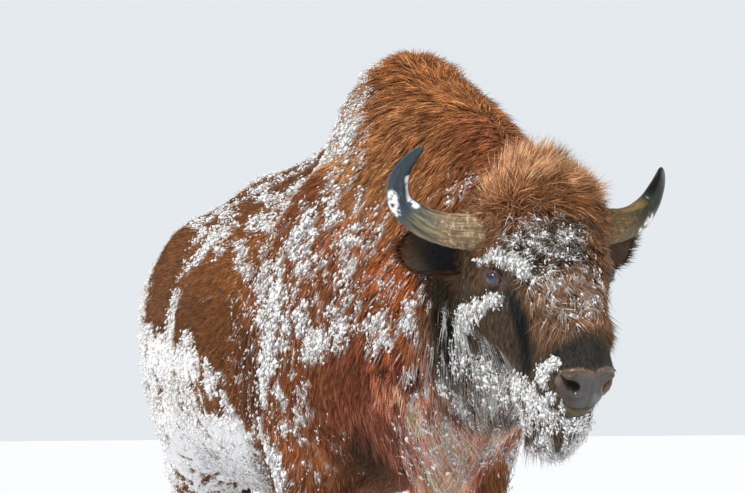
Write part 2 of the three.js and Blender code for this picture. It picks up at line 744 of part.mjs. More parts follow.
function buildFeet() {
  for (const [name, leg] of Object.entries(LEGS)) {
    const inner = -leg.side;
    add(`hoof_${name}_inner`, claw(leg, inner), COLOURS.hoof, 0.5);
    add(`hoof_${name}_outer`, claw(leg, leg.side), COLOURS.hoof, 0.5);
    dewclaws(leg, 0).forEach((solid, i) => {
      add(`dewclaw_${name}_${i ? 'right' : 'left'}`, solid, COLOURS.hoof, 0.5);
    });
  }
}

function buildHeadPieces() {
  for (const [name, side] of Object.entries(SIDES)) {
    add(`horn_${name}`, horn(side, 0), COLOURS.horn, 0.4);
    add(`ear_${name}`, ear(side, 0), COLOURS.face);
    add(`eye_${name}`, headBall(eyeAt(side), [1, 1, 1].map((r) => r * EYE.radius), 10, 7), COLOURS.eye, 0.1);
  }
}

function buildTail() {
  const brushLine = [[0, 0, TUFT_HEIGHT], [0, 0, 1]];
  add('tail', keep(tail(0), [brushLine]), COLOURS.coat);
  add('tail_brush', keep(tail(0), [flip(brushLine)]), COLOURS.beard);
}

buildTrunk();
buildNeck();
buildHead();
buildMuzzle();
buildBeard();
buildLegs();
buildFeet();
buildHeadPieces();
buildTail();

// The origin goes to the floor, under the middle of the whole outline.
const outline = new THREE.Box3().setFromObject(bison);
const middle = outline.getCenter(new THREE.Vector3());
bison.position.set(-middle.x, -middle.y, -outline.min.z);

export default bison;
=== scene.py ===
"""The looks of a life-size European bison bull in its winter coat, dusted with snow.

One skin stands in for all the nodes of flesh. It lies inside them by the depth of the coat, and the coat is
made of many thin tufts that are rooted in it and reach out to the outline of the solids. Everything is in
metres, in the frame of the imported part: X forward, Y to the animal's left, Z up from the floor.
"""

import itertools
import math

import bmesh
import bpy
import numpy as np
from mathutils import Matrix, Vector


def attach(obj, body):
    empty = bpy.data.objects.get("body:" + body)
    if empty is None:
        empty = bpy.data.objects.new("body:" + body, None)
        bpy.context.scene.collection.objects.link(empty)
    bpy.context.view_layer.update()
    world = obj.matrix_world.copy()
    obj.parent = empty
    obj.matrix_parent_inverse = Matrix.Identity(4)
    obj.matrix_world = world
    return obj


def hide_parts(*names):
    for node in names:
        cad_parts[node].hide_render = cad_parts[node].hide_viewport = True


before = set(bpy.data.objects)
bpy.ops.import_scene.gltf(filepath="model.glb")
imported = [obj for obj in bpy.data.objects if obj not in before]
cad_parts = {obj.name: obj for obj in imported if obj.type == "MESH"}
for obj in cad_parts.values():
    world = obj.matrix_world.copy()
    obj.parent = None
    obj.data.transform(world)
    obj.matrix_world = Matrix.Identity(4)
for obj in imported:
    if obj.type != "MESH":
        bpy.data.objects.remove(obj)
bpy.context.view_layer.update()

bl_info = {
    "name": "Snowy bison",
    "version": (1, 0, 0),
    "blender": (4, 5, 0),
    "location": "3D View > Sidebar > Bison",
    "description": "Builds the skin, coat, horns and stage of a life-size bison",
    "category": "Object",
}

BODY = "root"
RIGHT, LEFT = -1, 1
SIDES = {"right": RIGHT, "left": LEFT}


# ---------------------------------------------------------------- the head's own frame

MIDDLE = 0.17909  # from the top of the hump forward to the middle of the outline
HEAD_ORIGIN = np.array([0.930 + MIDDLE, 0.070, 1.268])  # midway between the eyes
HEAD_YAW = math.radians(5.5)
HEAD_DROOP = math.radians(46)
HEAD_ROLL = math.radians(2.2)


def turned(vector, axis, angle):
    """A vector turned about a unit axis."""
    return (
        vector * math.cos(angle)
        + np.cross(axis, vector) * math.sin(angle)
        + axis * (axis @ vector) * (1 - math.cos(angle))
    )


FORWARD = np.array([math.cos(HEAD_YAW), math.sin(HEAD_YAW), 0.0])
HEAD_AXES = np.array([
    turned(axis, FORWARD, HEAD_ROLL)
    for axis in (
        FORWARD * math.cos(HEAD_DROOP) - np.array([0, 0, math.sin(HEAD_DROOP)]),
        np.array([-math.sin(HEAD_YAW), math.cos(HEAD_YAW), 0.0]),
        FORWARD * math.sin(HEAD_DROOP) + np.array([0, 0, math.cos(HEAD_DROOP)]),
    )
])  # rows: along the face to the nostrils, to the left, out of the face


def to_head(points):
    """Places in the head's frame: along, left, out."""
    return (points - HEAD_ORIGIN) @ HEAD_AXES.T


def from_head(places):
    """The reverse of to_head."""
    return np.asarray(places) @ HEAD_AXES + HEAD_ORIGIN


EYE_PLACE = (0.002, 0.137, 0.004)
EYE_OUT = (0.42, 1.0, 0.48)  # the way an eye looks, for the left side
EYE_TILT = math.radians(29)  # of the line between its corners, up from the line of the face
EYE_OPENING = (0.0205, 0.0138)  # half the length and half the height between the lids


def eye_axes(side):
    """Centre of an eyeball, the way it looks, the line between its corners, and the way across its lids."""
    out = np.array([EYE_OUT[0], side * EYE_OUT[1], EYE_OUT[2]])
    out /= np.linalg.norm(out)
    ahead = np.array([1.0, 0, 0]) - out[0] * out
    ahead /= np.linalg.norm(ahead)
    above = np.cross(out, ahead)
    above = above if above[2] > 0 else -above
    corner = ahead * math.cos(EYE_TILT) + above * math.sin(EYE_TILT)
    lift = above * math.cos(EYE_TILT) - ahead * math.sin(EYE_TILT)
    centre = from_head([EYE_PLACE[0], side * EYE_PLACE[1], EYE_PLACE[2]])
    return centre, out @ HEAD_AXES, corner @ HEAD_AXES, lift @ HEAD_AXES


def eye_reach(points, side):
    """Height over the middle of an eye, and distance from its middle: 1 on the edge of the opening."""
    centre, out, corner, lift = eye_axes(side)
    offset = points - centre
    h, u, v = offset @ out, offset @ corner, offset @ lift
    return h, u, v, np.hypot(u / EYE_OPENING[0], v / EYE_OPENING[1])


# ---------------------------------------------------------------- small sums on arrays


def unit(vectors):
    return vectors / np.maximum(np.linalg.norm(vectors, axis=-1, keepdims=True), 1e-9)


def rise(low, high, value):
    """0 below low, 1 above high and smooth between, also with low above high."""
    t = np.clip((value - low) / (high - low), 0, 1)
    return t * t * (3 - 2 * t)


def bell(value, middle, width):
    """1 at the middle, falling off smoothly on both sides."""
    return np.exp(-(((value - middle) / width) ** 2))


def flattened(vectors, normals):
    """The vectors without their part along the normals."""
    return vectors - normals * np.sum(vectors * normals, axis=1, keepdims=True)


# Large odd numbers that scatter neighbouring cells.
CELL_FACTORS = (73856093, 19349663, 83492791, 2654435761)
MIX_FACTORS = (1274126177, 668265263)
CHANCE_MOST = 0xFFFFFFFF
CHANCE_HALF = 0x7FFFFFFF


def chances(cells, seed):
    """A chance number for each cell, from 0 to CHANCE_MOST."""
    ahead, left, up, start = CELL_FACTORS
    mixed = cells[:, 0] * ahead ^ cells[:, 1] * left ^ cells[:, 2] * up ^ (seed + 1) * start
    mixed = (mixed ^ (mixed >> 13)) * MIX_FACTORS[0] & CHANCE_MOST
    mixed = (mixed ^ (mixed >> 16)) * MIX_FACTORS[1] & CHANCE_MOST
    return mixed ^ (mixed >> 15)


def noise(points, size, seed=0):
    """Smooth noise from -1 to 1 whose lumps are about size across."""
    cell = points / size
    base = np.floor(cell).astype(np.int64)
    f = cell - base
    f = f * f * (3 - 2 * f)
    total = np.zeros(len(points))
    for corner in itertools.product((0, 1), repeat=3):
        weight = np.prod(np.where(corner, f, 1 - f), axis=1)
        total += weight * (chances(base + corner, seed) / CHANCE_HALF - 1)
    return total


def swirl(points, size, seed=0):
    """Three noises as a vector."""
    return np.stack([noise(points, size, seed + k) for k in range(3)], axis=1)


def blob(points, centre, radii, edge=0.35):
    """1 inside an ellipsoid, fading to 0 past its surface. edge is the fade, as a share of the radii."""
    reach = np.linalg.norm((points - np.array(centre)) / np.array(radii), axis=1)
    return rise(1 + edge, 1 - edge, reach)


def path_gap(points, path):
    """Distance from a line of (place, half width), in half widths."""
    nearest = np.full(len(points), 9.0)
    for (start, wide), (end, narrow) in zip(path, path[1:]):
        start, way = np.array(start, float), np.array(end, float) - np.array(start, float)
        t = np.clip((points - start) @ way / (way @ way), 0, 1)
        gap = np.linalg.norm(points - start - t[:, None] * way, axis=1) / (wide + (narrow - wide) * t)
        nearest = np.minimum(nearest, gap)
    return nearest


def trail(points, path, edge=0.4):
    """1 along a line of (place, half width), fading to 0 beside it."""
    return rise(1 + edge, 1 - edge, path_gap(points, path))


def clumps(points, size, seed=0):
    """The nearest of many scattered places, its chance number, and nearness to the border, 0 to 1."""
    cell = points / size[:, None]
    base = np.floor(cell).astype(np.int64)
    best, second = np.full(len(points), 9.0), np.full(len(points), 9.0)
    centre, chance = points.copy(), np.zeros(len(points))
    for corner in itertools.product((-1, 0, 1), repeat=3):
        i = base + corner
        spot = [chances(i, seed + 7 * k) / CHANCE_MOST for k in range(4)]
        place = i + np.stack(spot[:3], axis=1)
        gap = np.linalg.norm(place - cell, axis=1)
        closer = gap < best
        second = np.where(closer, best, np.minimum(second, gap))
        centre = np.where(closer[:, None], place * size[:, None], centre)
        chance = np.where(closer, spot[3], chance)
        best = np.minimum(best, gap)
    return centre, chance, rise(0.30, 0.0, second - best)


def linear(colour):
    """A linear colour from a written one, 0xRRGGBB or three shares."""
    if isinstance(colour, int):
        colour = [(colour >> shift & 255) / 255 for shift in (16, 8, 0)]
    c = np.asarray(list(colour)[:3], float)
    return np.where(c <= 0.04045, c / 12.92, ((c + 0.055) / 1.055) ** 2.4)


# ---------------------------------------------------------------- settings


def length_setting(name, text, value, most=1.0):
    return bpy.props.FloatProperty(
        name=name, description=text, default=value, min=0.0, max=most,
        subtype="DISTANCE", unit="LENGTH", precision=4,
    )


def share_setting(name, text, value, most=1.0):
    return bpy.props.FloatProperty(
        name=name, description=text, default=value, min=0.0, max=most, subtype="FACTOR"
    )


def colour_setting(name, text, value):
    return bpy.props.FloatVectorProperty(
        name=name, description=text, default=linear(value), size=3, min=0.0, max=1.0, subtype="COLOR"
    )


class BisonSizes(bpy.types.PropertyGroup):
    """Sizes of the skin, the coat, the horns and the eyes."""

    voxel: length_setting("Skin mesh", "Size of the skin's faces", 0.0128)
    back_hair: length_setting("Back hair", "Length of the coat on back and flanks", 0.030)
    mane_hair: length_setting("Mane hair", "Length of the coat on shoulders and neck", 0.034)
    hump_hair: length_setting("Hump hair", "Length of the coat on the hump", 0.055)
    chest_hair: length_setting("Chest hair", "Length of the mane that hangs from throat and chest", 0.085)
    leg_hair: length_setting("Leg hair", "Length of the coat on the lower legs", 0.022)
    mop_hair: length_setting("Mop hair", "Length of the hair between the horns", 0.085)
    bridge_hair: length_setting("Bridge hair", "Length of the hair on the nose bridge", 0.050)
    face_hair: length_setting("Face hair", "Length of the hair on cheeks and around the eyes", 0.024)
    beard_hair: length_setting("Beard hair", "Length of the beard's locks", 0.062)
    brush_hair: length_setting("Brush hair", "Length of the tail's brush", 0.125)
    horn_ridge: length_setting("Horn ridge", "Height of the ridges round a horn's base", 0.0011)
    eye_radius: length_setting("Eye", "Radius of an eyeball", 0.021)
    snow_grain: length_setting("Snow grain", "Radius of a middling grain of snow", 0.0024)
    snow: share_setting("Snow", "How much of the coat is dusted with snow", 1.0, 2.0)
    tufts: share_setting("Tufts", "How many tufts, as a share of the full coat", 1.0, 2.0)


class BisonColours(bpy.types.PropertyGroup):
    """Colours of the coat and of the bare parts."""

    back: colour_setting("Back", "Coat of back, flanks and rump", 0x96623A)
    mane: colour_setting("Mane", "Coat of shoulders and neck", 0xAE6C44)
    hump: colour_setting("Hump", "Coat of the hump", 0xB07446)
    chest: colour_setting("Chest", "Red-brown coat of the chest", 0xA35D3E)
    belly: colour_setting("Belly", "Coat of the belly and the insides of the legs", 0x7A5236)
    leg: colour_setting("Leg", "Coat of the lower legs", 0x704C36)
    mop: colour_setting("Mop", "Long hair between the horns", 0xDCA880)
    bridge: colour_setting("Bridge", "Hair of the nose bridge", 0xA07E64)
    face: colour_setting("Face", "Dark hair of the face", 0x746553)
    beard: colour_setting("Beard", "Hair of the beard", 0x74645A)
    # Near black: the dark hair inside the ears, deepened as painted shade in their hollows.
    ear: colour_setting("Ear", "Hair inside the ears", 0x24252B)
    muzzle: colour_setting("Muzzle", "Bare skin of the nose", 0x574D47)
    lid: colour_setting("Lids", "Bare skin round the eyes", 0x553C35)
    # Dark violet: a dark iris with a painted reflection of a pale sky.
    eye: colour_setting("Eye", "Iris", 0x2A2438)
    horn_base: colour_setting("Horn base", "Near the head", 0x80704E)
    horn_tip: colour_setting("Horn tip", "The outer half", 0x283A46)
    hoof: colour_setting("Hoof", "Hooves and dewclaws", 0x2E2823)
    snow: colour_setting("Snow", "Snow on the coat", 0xF9F9F8)


def sizes():
    return bpy.context.scene.bison_sizes


def colours():
    return bpy.context.scene.bison_colours


def paints():
    """The coat's colours by name, as arrays."""
    c = colours()
    names = [name for name in c.bl_rna.properties.keys() if name not in ("rna_type", "name")]
    return {name: np.array(getattr(c, name)) for name in names}


# ---------------------------------------------------------------- markings and the lie of the coat


# The body's markings lie on an upright board that faces ahead and a little to the right.
# The left side repeats them.
BOARD_ALONG, BOARD_OUT = 0.292, 0.957


def regions(points):
    """Soft masks, 0 to 1, for the parts of the body at these points, with the places they come from.

    x, y, z are the body's own, a, l, n the head's, and u is how far across the board a point lies.
    """
    x, y, z = (points - [MIDDLE, 0, 0]).T
    a, l, n = to_head(points).T
    head = rise(-0.05, 0.05, (a + 0.285 + 0.42 * (n - 0.12)) / 1.085)
    ear_t = np.clip(
        ((a + 0.122) * -0.062 + (np.abs(l) - 0.124) * 0.176 + (n + 0.046) * -0.042) / 0.0366, 0, 1
    )
    ear_gap = np.stack(
        [a + 0.122 + 0.062 * ear_t, np.abs(l) - 0.124 - 0.176 * ear_t, n + 0.046 + 0.042 * ear_t], 1
    )
    ear = rise(0.095, 0.07, np.linalg.norm(ear_gap, axis=1)) * rise(0.150, 0.172, np.abs(l))
    head = np.maximum(head, ear)
    beard = rise(-0.17, -0.215, n + 0.05 * rise(0.1, 0.25, a)) * head * (1 - ear)
    chin = rise(0.19, 0.225, a) * rise(-0.075, -0.10, n) * head
    beard = np.maximum(beard, chin * rise(-0.10, -0.125, n))
    rod = np.stack([a + 0.110, (np.abs(l) - 0.138) * 0.4, n - 0.034], 1)
    socket = head * rise(0.066, 0.054, np.linalg.norm(rod, axis=1)) * rise(0.098, 0.112, np.abs(l))
    crown = head * rise(-0.045, -0.115, a) * rise(-0.04, 0.03, n) * (1 - ear)
    hollow = ear * rise(0.050, 0.036, np.linalg.norm(ear_gap, axis=1)) * rise(0.92, 0.72, ear_t)
    side_drop = 0.03 * rise(0.06, 0.12, a)
    bridge = head * rise(-0.10, -0.02, a) * rise(0.252, 0.217, a + 0.14 * np.abs(l)) * (1 - ear)
    bridge = bridge * rise(-0.015, 0.035, n - 0.2 * np.abs(l) + side_drop)
    bridge = bridge * rise(0.116, 0.088, np.abs(l) + 0.08 * a)
    bridge = np.minimum(bridge, 1 - crown * 0.999)
    forehead = bridge * rise(0.075, 0.035, a)
    pad = head * rise(-0.005, 0.004, pad_edge(a, l, n))
    pad = pad * rise(-0.004, 0.003, n + 0.101 - 1.6 * np.maximum(np.abs(l) - 0.036, 0))
    pad = pad * (1 - rise(-0.086, -0.091, n) * rise(0.029, 0.037, np.abs(l)))
    muzzle = head * rise(0.17, 0.23, a) * (1 - beard)
    eyes, lids = np.zeros(len(points)), np.zeros(len(points))
    for eye_side in (RIGHT, LEFT):
        h, _, _, reach = eye_reach(points, eye_side)
        eyes = np.maximum(eyes, rise(3.3, 2.0, reach) * (h > -0.03))
        lids = np.maximum(lids, rise(1.95, 1.55, reach) * (h > -0.03))
    body = 1 - head
    front = rise(-0.34, -0.10, x + 0.35 * (z - 1.35) * (z > 1.35) * 0.4)
    hump = body * front * rise(1.42, 1.62, z) * rise(0.62, 0.50, x)
    leg = body * rise(0.80, 0.60, z) * np.maximum(
        rise(0.34, 0.27, np.abs(x - 0.09)), rise(-0.80, -0.90, x) * rise(-1.42, -1.38, x)
    )
    shank = body * rise(0.56, 0.42, z) * (x > -1.385)
    tail = body * rise(-1.355, -1.39, x)
    brush = tail * rise(0.90, 0.80, z)
    chest = body * rise(0.22, 0.36, x) * rise(1.10, 0.92, z + 0.35 * np.abs(y)) * (1 - shank)
    neck = body * rise(0.38, 0.55, x)
    belly = body * rise(0.86, 0.76, z) * rise(0.25, 0.15, x) * rise(-1.0, -0.85, x) * (1 - leg)
    across = BOARD_ALONG * points[:, 0] - BOARD_OUT * np.abs(y)
    return dict(
        x=x, y=y, z=z, a=a, l=l, n=n, u=across,
        body=body, front=front * body, hump=hump, neck=neck, chest=chest, belly=belly,
        leg=leg, shank=shank, tail=tail, brush=brush,
        head=head, crown=crown, forehead=forehead, bridge=bridge, muzzle=muzzle, pad=pad,
        eyes=eyes, lids=lids, socket=socket, ear=ear, hollow=hollow, beard=beard, chin=chin,
    )


def pad_edge(a, l, n):
    """How far past the hairy edge of the bare nose pad, which dips between the nostrils."""
    middle = bell(l, 0, 0.013)
    sides = bell(np.abs(l), 0.036, 0.016)
    return a - 0.279 - 0.95 * np.maximum(n + 0.010, 0) - 0.008 * middle + 0.006 * sides


def blend(base, *layers):
    """base with layers of (mask, value) painted over it in turn. Values may be numbers or rows."""
    out = base
    for mask, value in layers:
        m = mask[:, None] if np.ndim(value) and np.shape(value)[-1] == 3 else mask
        out = out * (1 - m) + np.asarray(value) * m
    return out


def coat_lie(points, normals):
    """The coat at these points: its run, lift, hang, length and width, and how it clumps and curls."""
    s, r = sizes(), regions(points)
    one = np.ones(len(points))

    def over(base, **parts):
        """base with the value of each part of the body painted over it in turn."""
        return blend(one * base, *((r[part], value) for part, value in parts.items()))

    flat = np.zeros((len(points), 3))
    along, left, out = HEAD_AXES
    side = np.sign(r["l"])[:, None]
    near = rise(-0.085, -0.115, r["l"])[:, None]
    swept_left = flat - 0.30 * along + 0.75 * left + 0.35 * out
    swept_right = flat - 0.1 * along - 0.9 * left - 0.35 * out
    swept = swept_left * (1 - near) + swept_right * near
    bridge_run = flat + along + side * left * np.clip(np.abs(r["l"]) / 0.10, 0, 1)[:, None] * 0.25
    ear_run = flat + along * -0.062 + side * left * 0.176 + out * -0.042
    run = blend(
        flat + [-1.0, 0.0, -0.45],
        (r["front"], flat + [-0.42, 0.0, -1.0]),
        (r["hump"], flat + [-0.55, 0.0, -0.75]),
        (r["neck"], flat + [-0.4, 0.0, -1.0]),
        (r["chest"], flat + [0.22, 0.0, -1.0]),
        (r["leg"], flat + [-0.25, 0.0, -1.0]),
        (r["shank"], flat + [-0.12, 0.0, -1.0]),
        (r["tail"], flat + [-0.1, 0.0, -1.0]),
        (r["head"], flat + 0.68 * along - 0.74 * out),
        (r["crown"], unit(swept)),
        (r["bridge"], unit(bridge_run)),
        (r["ear"], unit(ear_run)),
        (r["socket"], side * left - 0.25 * along - 0.15 * out),
        (r["beard"], flat + [0.12, 0.0, -1.0]),
    )
    run = unit(run)
    run = flattened(run, normals)
    run = run + 1e-4 * np.roll(normals, 1, axis=1)
    beard_share = 1 - 0.5 * r["chin"] + 0.25 * rise(0.27, 0.19, r["a"]) * (1 - r["chin"])
    length = blend(
        one * s.back_hair,
        (r["belly"], s.back_hair * 1.5),
        (r["front"], s.mane_hair),
        (r["neck"], s.mane_hair * 1.25),
        (r["hump"], s.hump_hair),
        (r["chest"], s.chest_hair),
        (r["leg"], s.mane_hair * 0.8),
        (r["shank"], s.leg_hair),
        (rise(0.16, 0.08, r["z"]) * r["shank"], s.leg_hair * 0.8),
        (r["tail"], s.back_hair * 0.7),
        (r["brush"], s.brush_hair),
        (r["head"], s.face_hair),
        (r["head"] * rise(-0.04, -0.14, r["a"]) * rise(0.0, -0.08, r["n"]), s.mane_hair),
        (r["crown"], s.mop_hair * (0.8 + 0.3 * rise(-0.14, -0.24, r["a"]))),
        (r["bridge"], s.bridge_hair * (0.9 + 0.35 * rise(0.10, 0.20, r["a"]))),
        (r["forehead"], s.bridge_hair * 0.70),
        (r["head"] * rise(-0.12, -0.17, r["n"]) * (1 - r["muzzle"]), s.face_hair * 1.6),
        (r["muzzle"], 0.014),
        (r["beard"], s.beard_hair * beard_share),
        (r["eyes"], 0.008),
        (r["ear"], s.face_hair * 1.3),
        (r["socket"], s.face_hair * 1.2),
        (r["hollow"], 0.011),
    )
    lift = over(
        13.0, front=13.0, neck=19.0, hump=24.0, chest=22.0, leg=18.0, shank=14.0, brush=10.0, head=17.0,
        crown=34.0 + 18.0 * rise(-0.13, -0.22, r["a"]), bridge=26.0 - 6.0 * rise(0.08, 0.16, r["a"]),
        forehead=36.0, muzzle=19.0, beard=20.0, eyes=12.0, ear=16.0, socket=13.0, hollow=10.0,
    )
    hang = over(
        0.04, front=0.12, hump=0.10, chest=0.60, belly=0.25, brush=1.2, head=0.08, crown=0.05,
        bridge=0.22, forehead=0.05, beard=0.80, ear=0.12,
    )
    width = over(
        0.0034, front=0.0028, hump=0.0028, chest=0.0028, shank=0.0032, head=0.0021, crown=0.0023,
        bridge=0.0023, muzzle=0.0015, beard=0.0026, eyes=0.0015, ear=0.0023,
    )
    clump = over(
        0.016, front=0.022, hump=0.030, chest=0.028, head=0.012, crown=0.026, bridge=0.017, beard=0.020
    )
    curl = blend(
        over(0.16, front=0.30, hump=0.40, head=0.22, crown=0.62, bridge=0.70),
        (np.clip(r["forehead"] + r["crown"] * rise(-0.17, -0.12, r["a"]), 0, 1), 1.3),
        (np.clip(r["muzzle"] + r["eyes"] + r["shank"], 0, 1), 0.10),
    )
    return dict(
        run=run, length=length, lift=np.radians(lift), hang=hang,
        width=width, clump=clump, curl=curl, regions=r,
    )


def outer_part(roots, normals, run, lift, hang, length):
    """Where the outer part of a tuft lies."""
    start = run * np.cos(lift)[:, None] + normals * np.sin(lift)[:, None]
    return roots + start * (0.62 * length)[:, None] + np.array([0, 0, -0.22]) * (hang * length)[:, None]


def coat_depth(points, normals):
    """How far the skin lies inside the outline of the coat."""
    lie = coat_lie(points, normals)
    r = lie["regions"]
    depth = lie["length"] * np.sin(lie["lift"]) * 0.80
    depth = blend(
        depth,
        (r["chest"], 0.032),
        (r["beard"], 0.040 * (1 - 0.65 * r["chin"])),
        (r["brush"], 0.016),
        (r["ear"], 0.003),
        (r["socket"], -0.0030),
        (np.clip(r["pad"] + r["eyes"], 0, 1), 0.0010),
    )
    return np.minimum(depth, 0.062)


# Snow on the roll of hair above the right horn: places in the head's frame, and half widths.
HORN_ROLL = (
    ((-0.329, -0.121, -0.071), 0.022), ((-0.306, -0.104, -0.022), 0.022), ((-0.289, -0.089, 0.018), 0.018),
)
# Lines of snow on the face: how far to the right and up as seen from ahead and beside it, and half width.
FACE_RIGHT = np.array([0.284, 0.922, 0.257])
FACE_UP = np.array([-0.72, 0.03, 0.69])
FACE_SNOW = (
    (
        (-0.156, 0.036, 0.009), (-0.136, 0.050, 0.013), (-0.114, 0.050, 0.017),
        (-0.088, 0.036, 0.019), (-0.062, 0.014, 0.018), (-0.040, -0.010, 0.013),
    ),
    (
        (-0.122, -0.046, 0.012), (-0.160, -0.064, 0.018), (-0.190, -0.093, 0.018),
        (-0.204, -0.132, 0.013), (-0.204, -0.170, 0.013),
    ),
    (
        (-0.197, -0.181, 0.015), (-0.155, -0.202, 0.021), (-0.115, -0.224, 0.023), (-0.076, -0.249, 0.019),
        (-0.040, -0.274, 0.016), (-0.009, -0.301, 0.013), (0.020, -0.325, 0.013), (0.050, -0.338, 0.014),
        (0.084, -0.327, 0.011), (0.106, -0.308, 0.007),
    ),
    (
        (0.006, -0.193, 0.008), (-0.016, -0.206, 0.012), (-0.025, -0.233, 0.013), (-0.020, -0.260, 0.012),
        (0.002, -0.281, 0.012), (0.022, -0.300, 0.010), (0.030, -0.325, 0.012),
    ),
)
# The upper edge of the caked snow: heights, and how far across the board it reaches at each.
BELLY_EDGE = (
    (0.70, 0.80, 0.86, 0.93, 0.99, 1.04, 1.08, 1.11, 1.14, 1.16),
    (-0.26, -0.28, -0.297, -0.33, -0.354, -0.394, -0.45, -0.46, -0.49, -0.58),
)


def flat_board(right, up):
    """Two ways to mark a board: a soft spot, and a soft line with a half width at each place."""
    board = np.stack([right, up, up * 0], 1)

    def spot(across, height, wide, tall, edge=0.45):
        return blob(board, [across, height, 0], [wide, tall, 1], edge)

    def line(*path, edge=0.6):
        return trail(board, [((across, height, 0), wide) for across, height, wide in path], edge)

    return spot, line


def belly_cake(points, r):
    """Snow caked on belly and thighs, 0 to 1: firm above and below, cracked between."""
    x, z, u = r["x"], r["z"], r["u"]
    ragged = z + (0.060 * noise(points, 0.11, 25) + 0.025 * noise(points, 0.035, 24)) * rise(0.98, 1.10, z)
    limit = np.interp(ragged, *BELLY_EDGE)
    limit = limit + 0.016 * noise(points, 0.03, 23) + 0.010 * noise(points, 0.012, 24)
    white = r["body"] * rise(0.005, -0.005, u - limit)
    white = white * rise(0.30, 0.12, x) * rise(-1.40, -1.25, x) * rise(0.60, 0.72, z)
    leaning = points * [1, 1, 0.45] + np.outer(z, [0.35, 0, 0])
    cracks = noise(leaning, 0.020, 51) * 0.7 + noise(leaning, 0.009, 52) * 0.6
    firm = 0.86 - 0.30 * rise(1.03, 0.99, z) * rise(0.90, 0.94, z)
    firm = firm - 0.22 * rise(-0.08, -0.02, u - limit) * rise(0.90, 0.96, z)
    firm = firm - 0.24 * rise(0.80, 0.75, z)
    return white * rise(-0.10, 0.10, cracks + 1.5 * (firm - 0.5))


def face_cake(points, r):
    """Snow caked over and under the eyes, along the jaw and round the nose, 0 to 1."""
    front = np.stack([r["a"], np.where(r["l"] > 0.075, -r["l"], r["l"]), r["n"]], 1)
    right, up = front @ FACE_RIGHT, front @ FACE_UP
    _, line = flat_board(right, up)
    cake = np.zeros(len(points))
    for path in FACE_SNOW:
        cake = np.maximum(cake, line(*path))
    cake = cake * np.where(r["l"] > 0.075, 0.45 * rise(-0.03, -0.07, up), 0.80)
    cake = cake * np.maximum(r["head"], rise(0.50, 0.60, r["x"]) * rise(-0.12, -0.03, r["a"]))
    crumbs = noise(points, 0.015, 53) * 1.0 + noise(points, 0.007, 54) * 0.9
    caked = rise(-0.12, 0.12, crumbs + 1.5 * (cake - 0.5)) * (cake > 0.05)
    return caked * (1 - r["pad"]) * (1 - 0.9 * r["lids"])


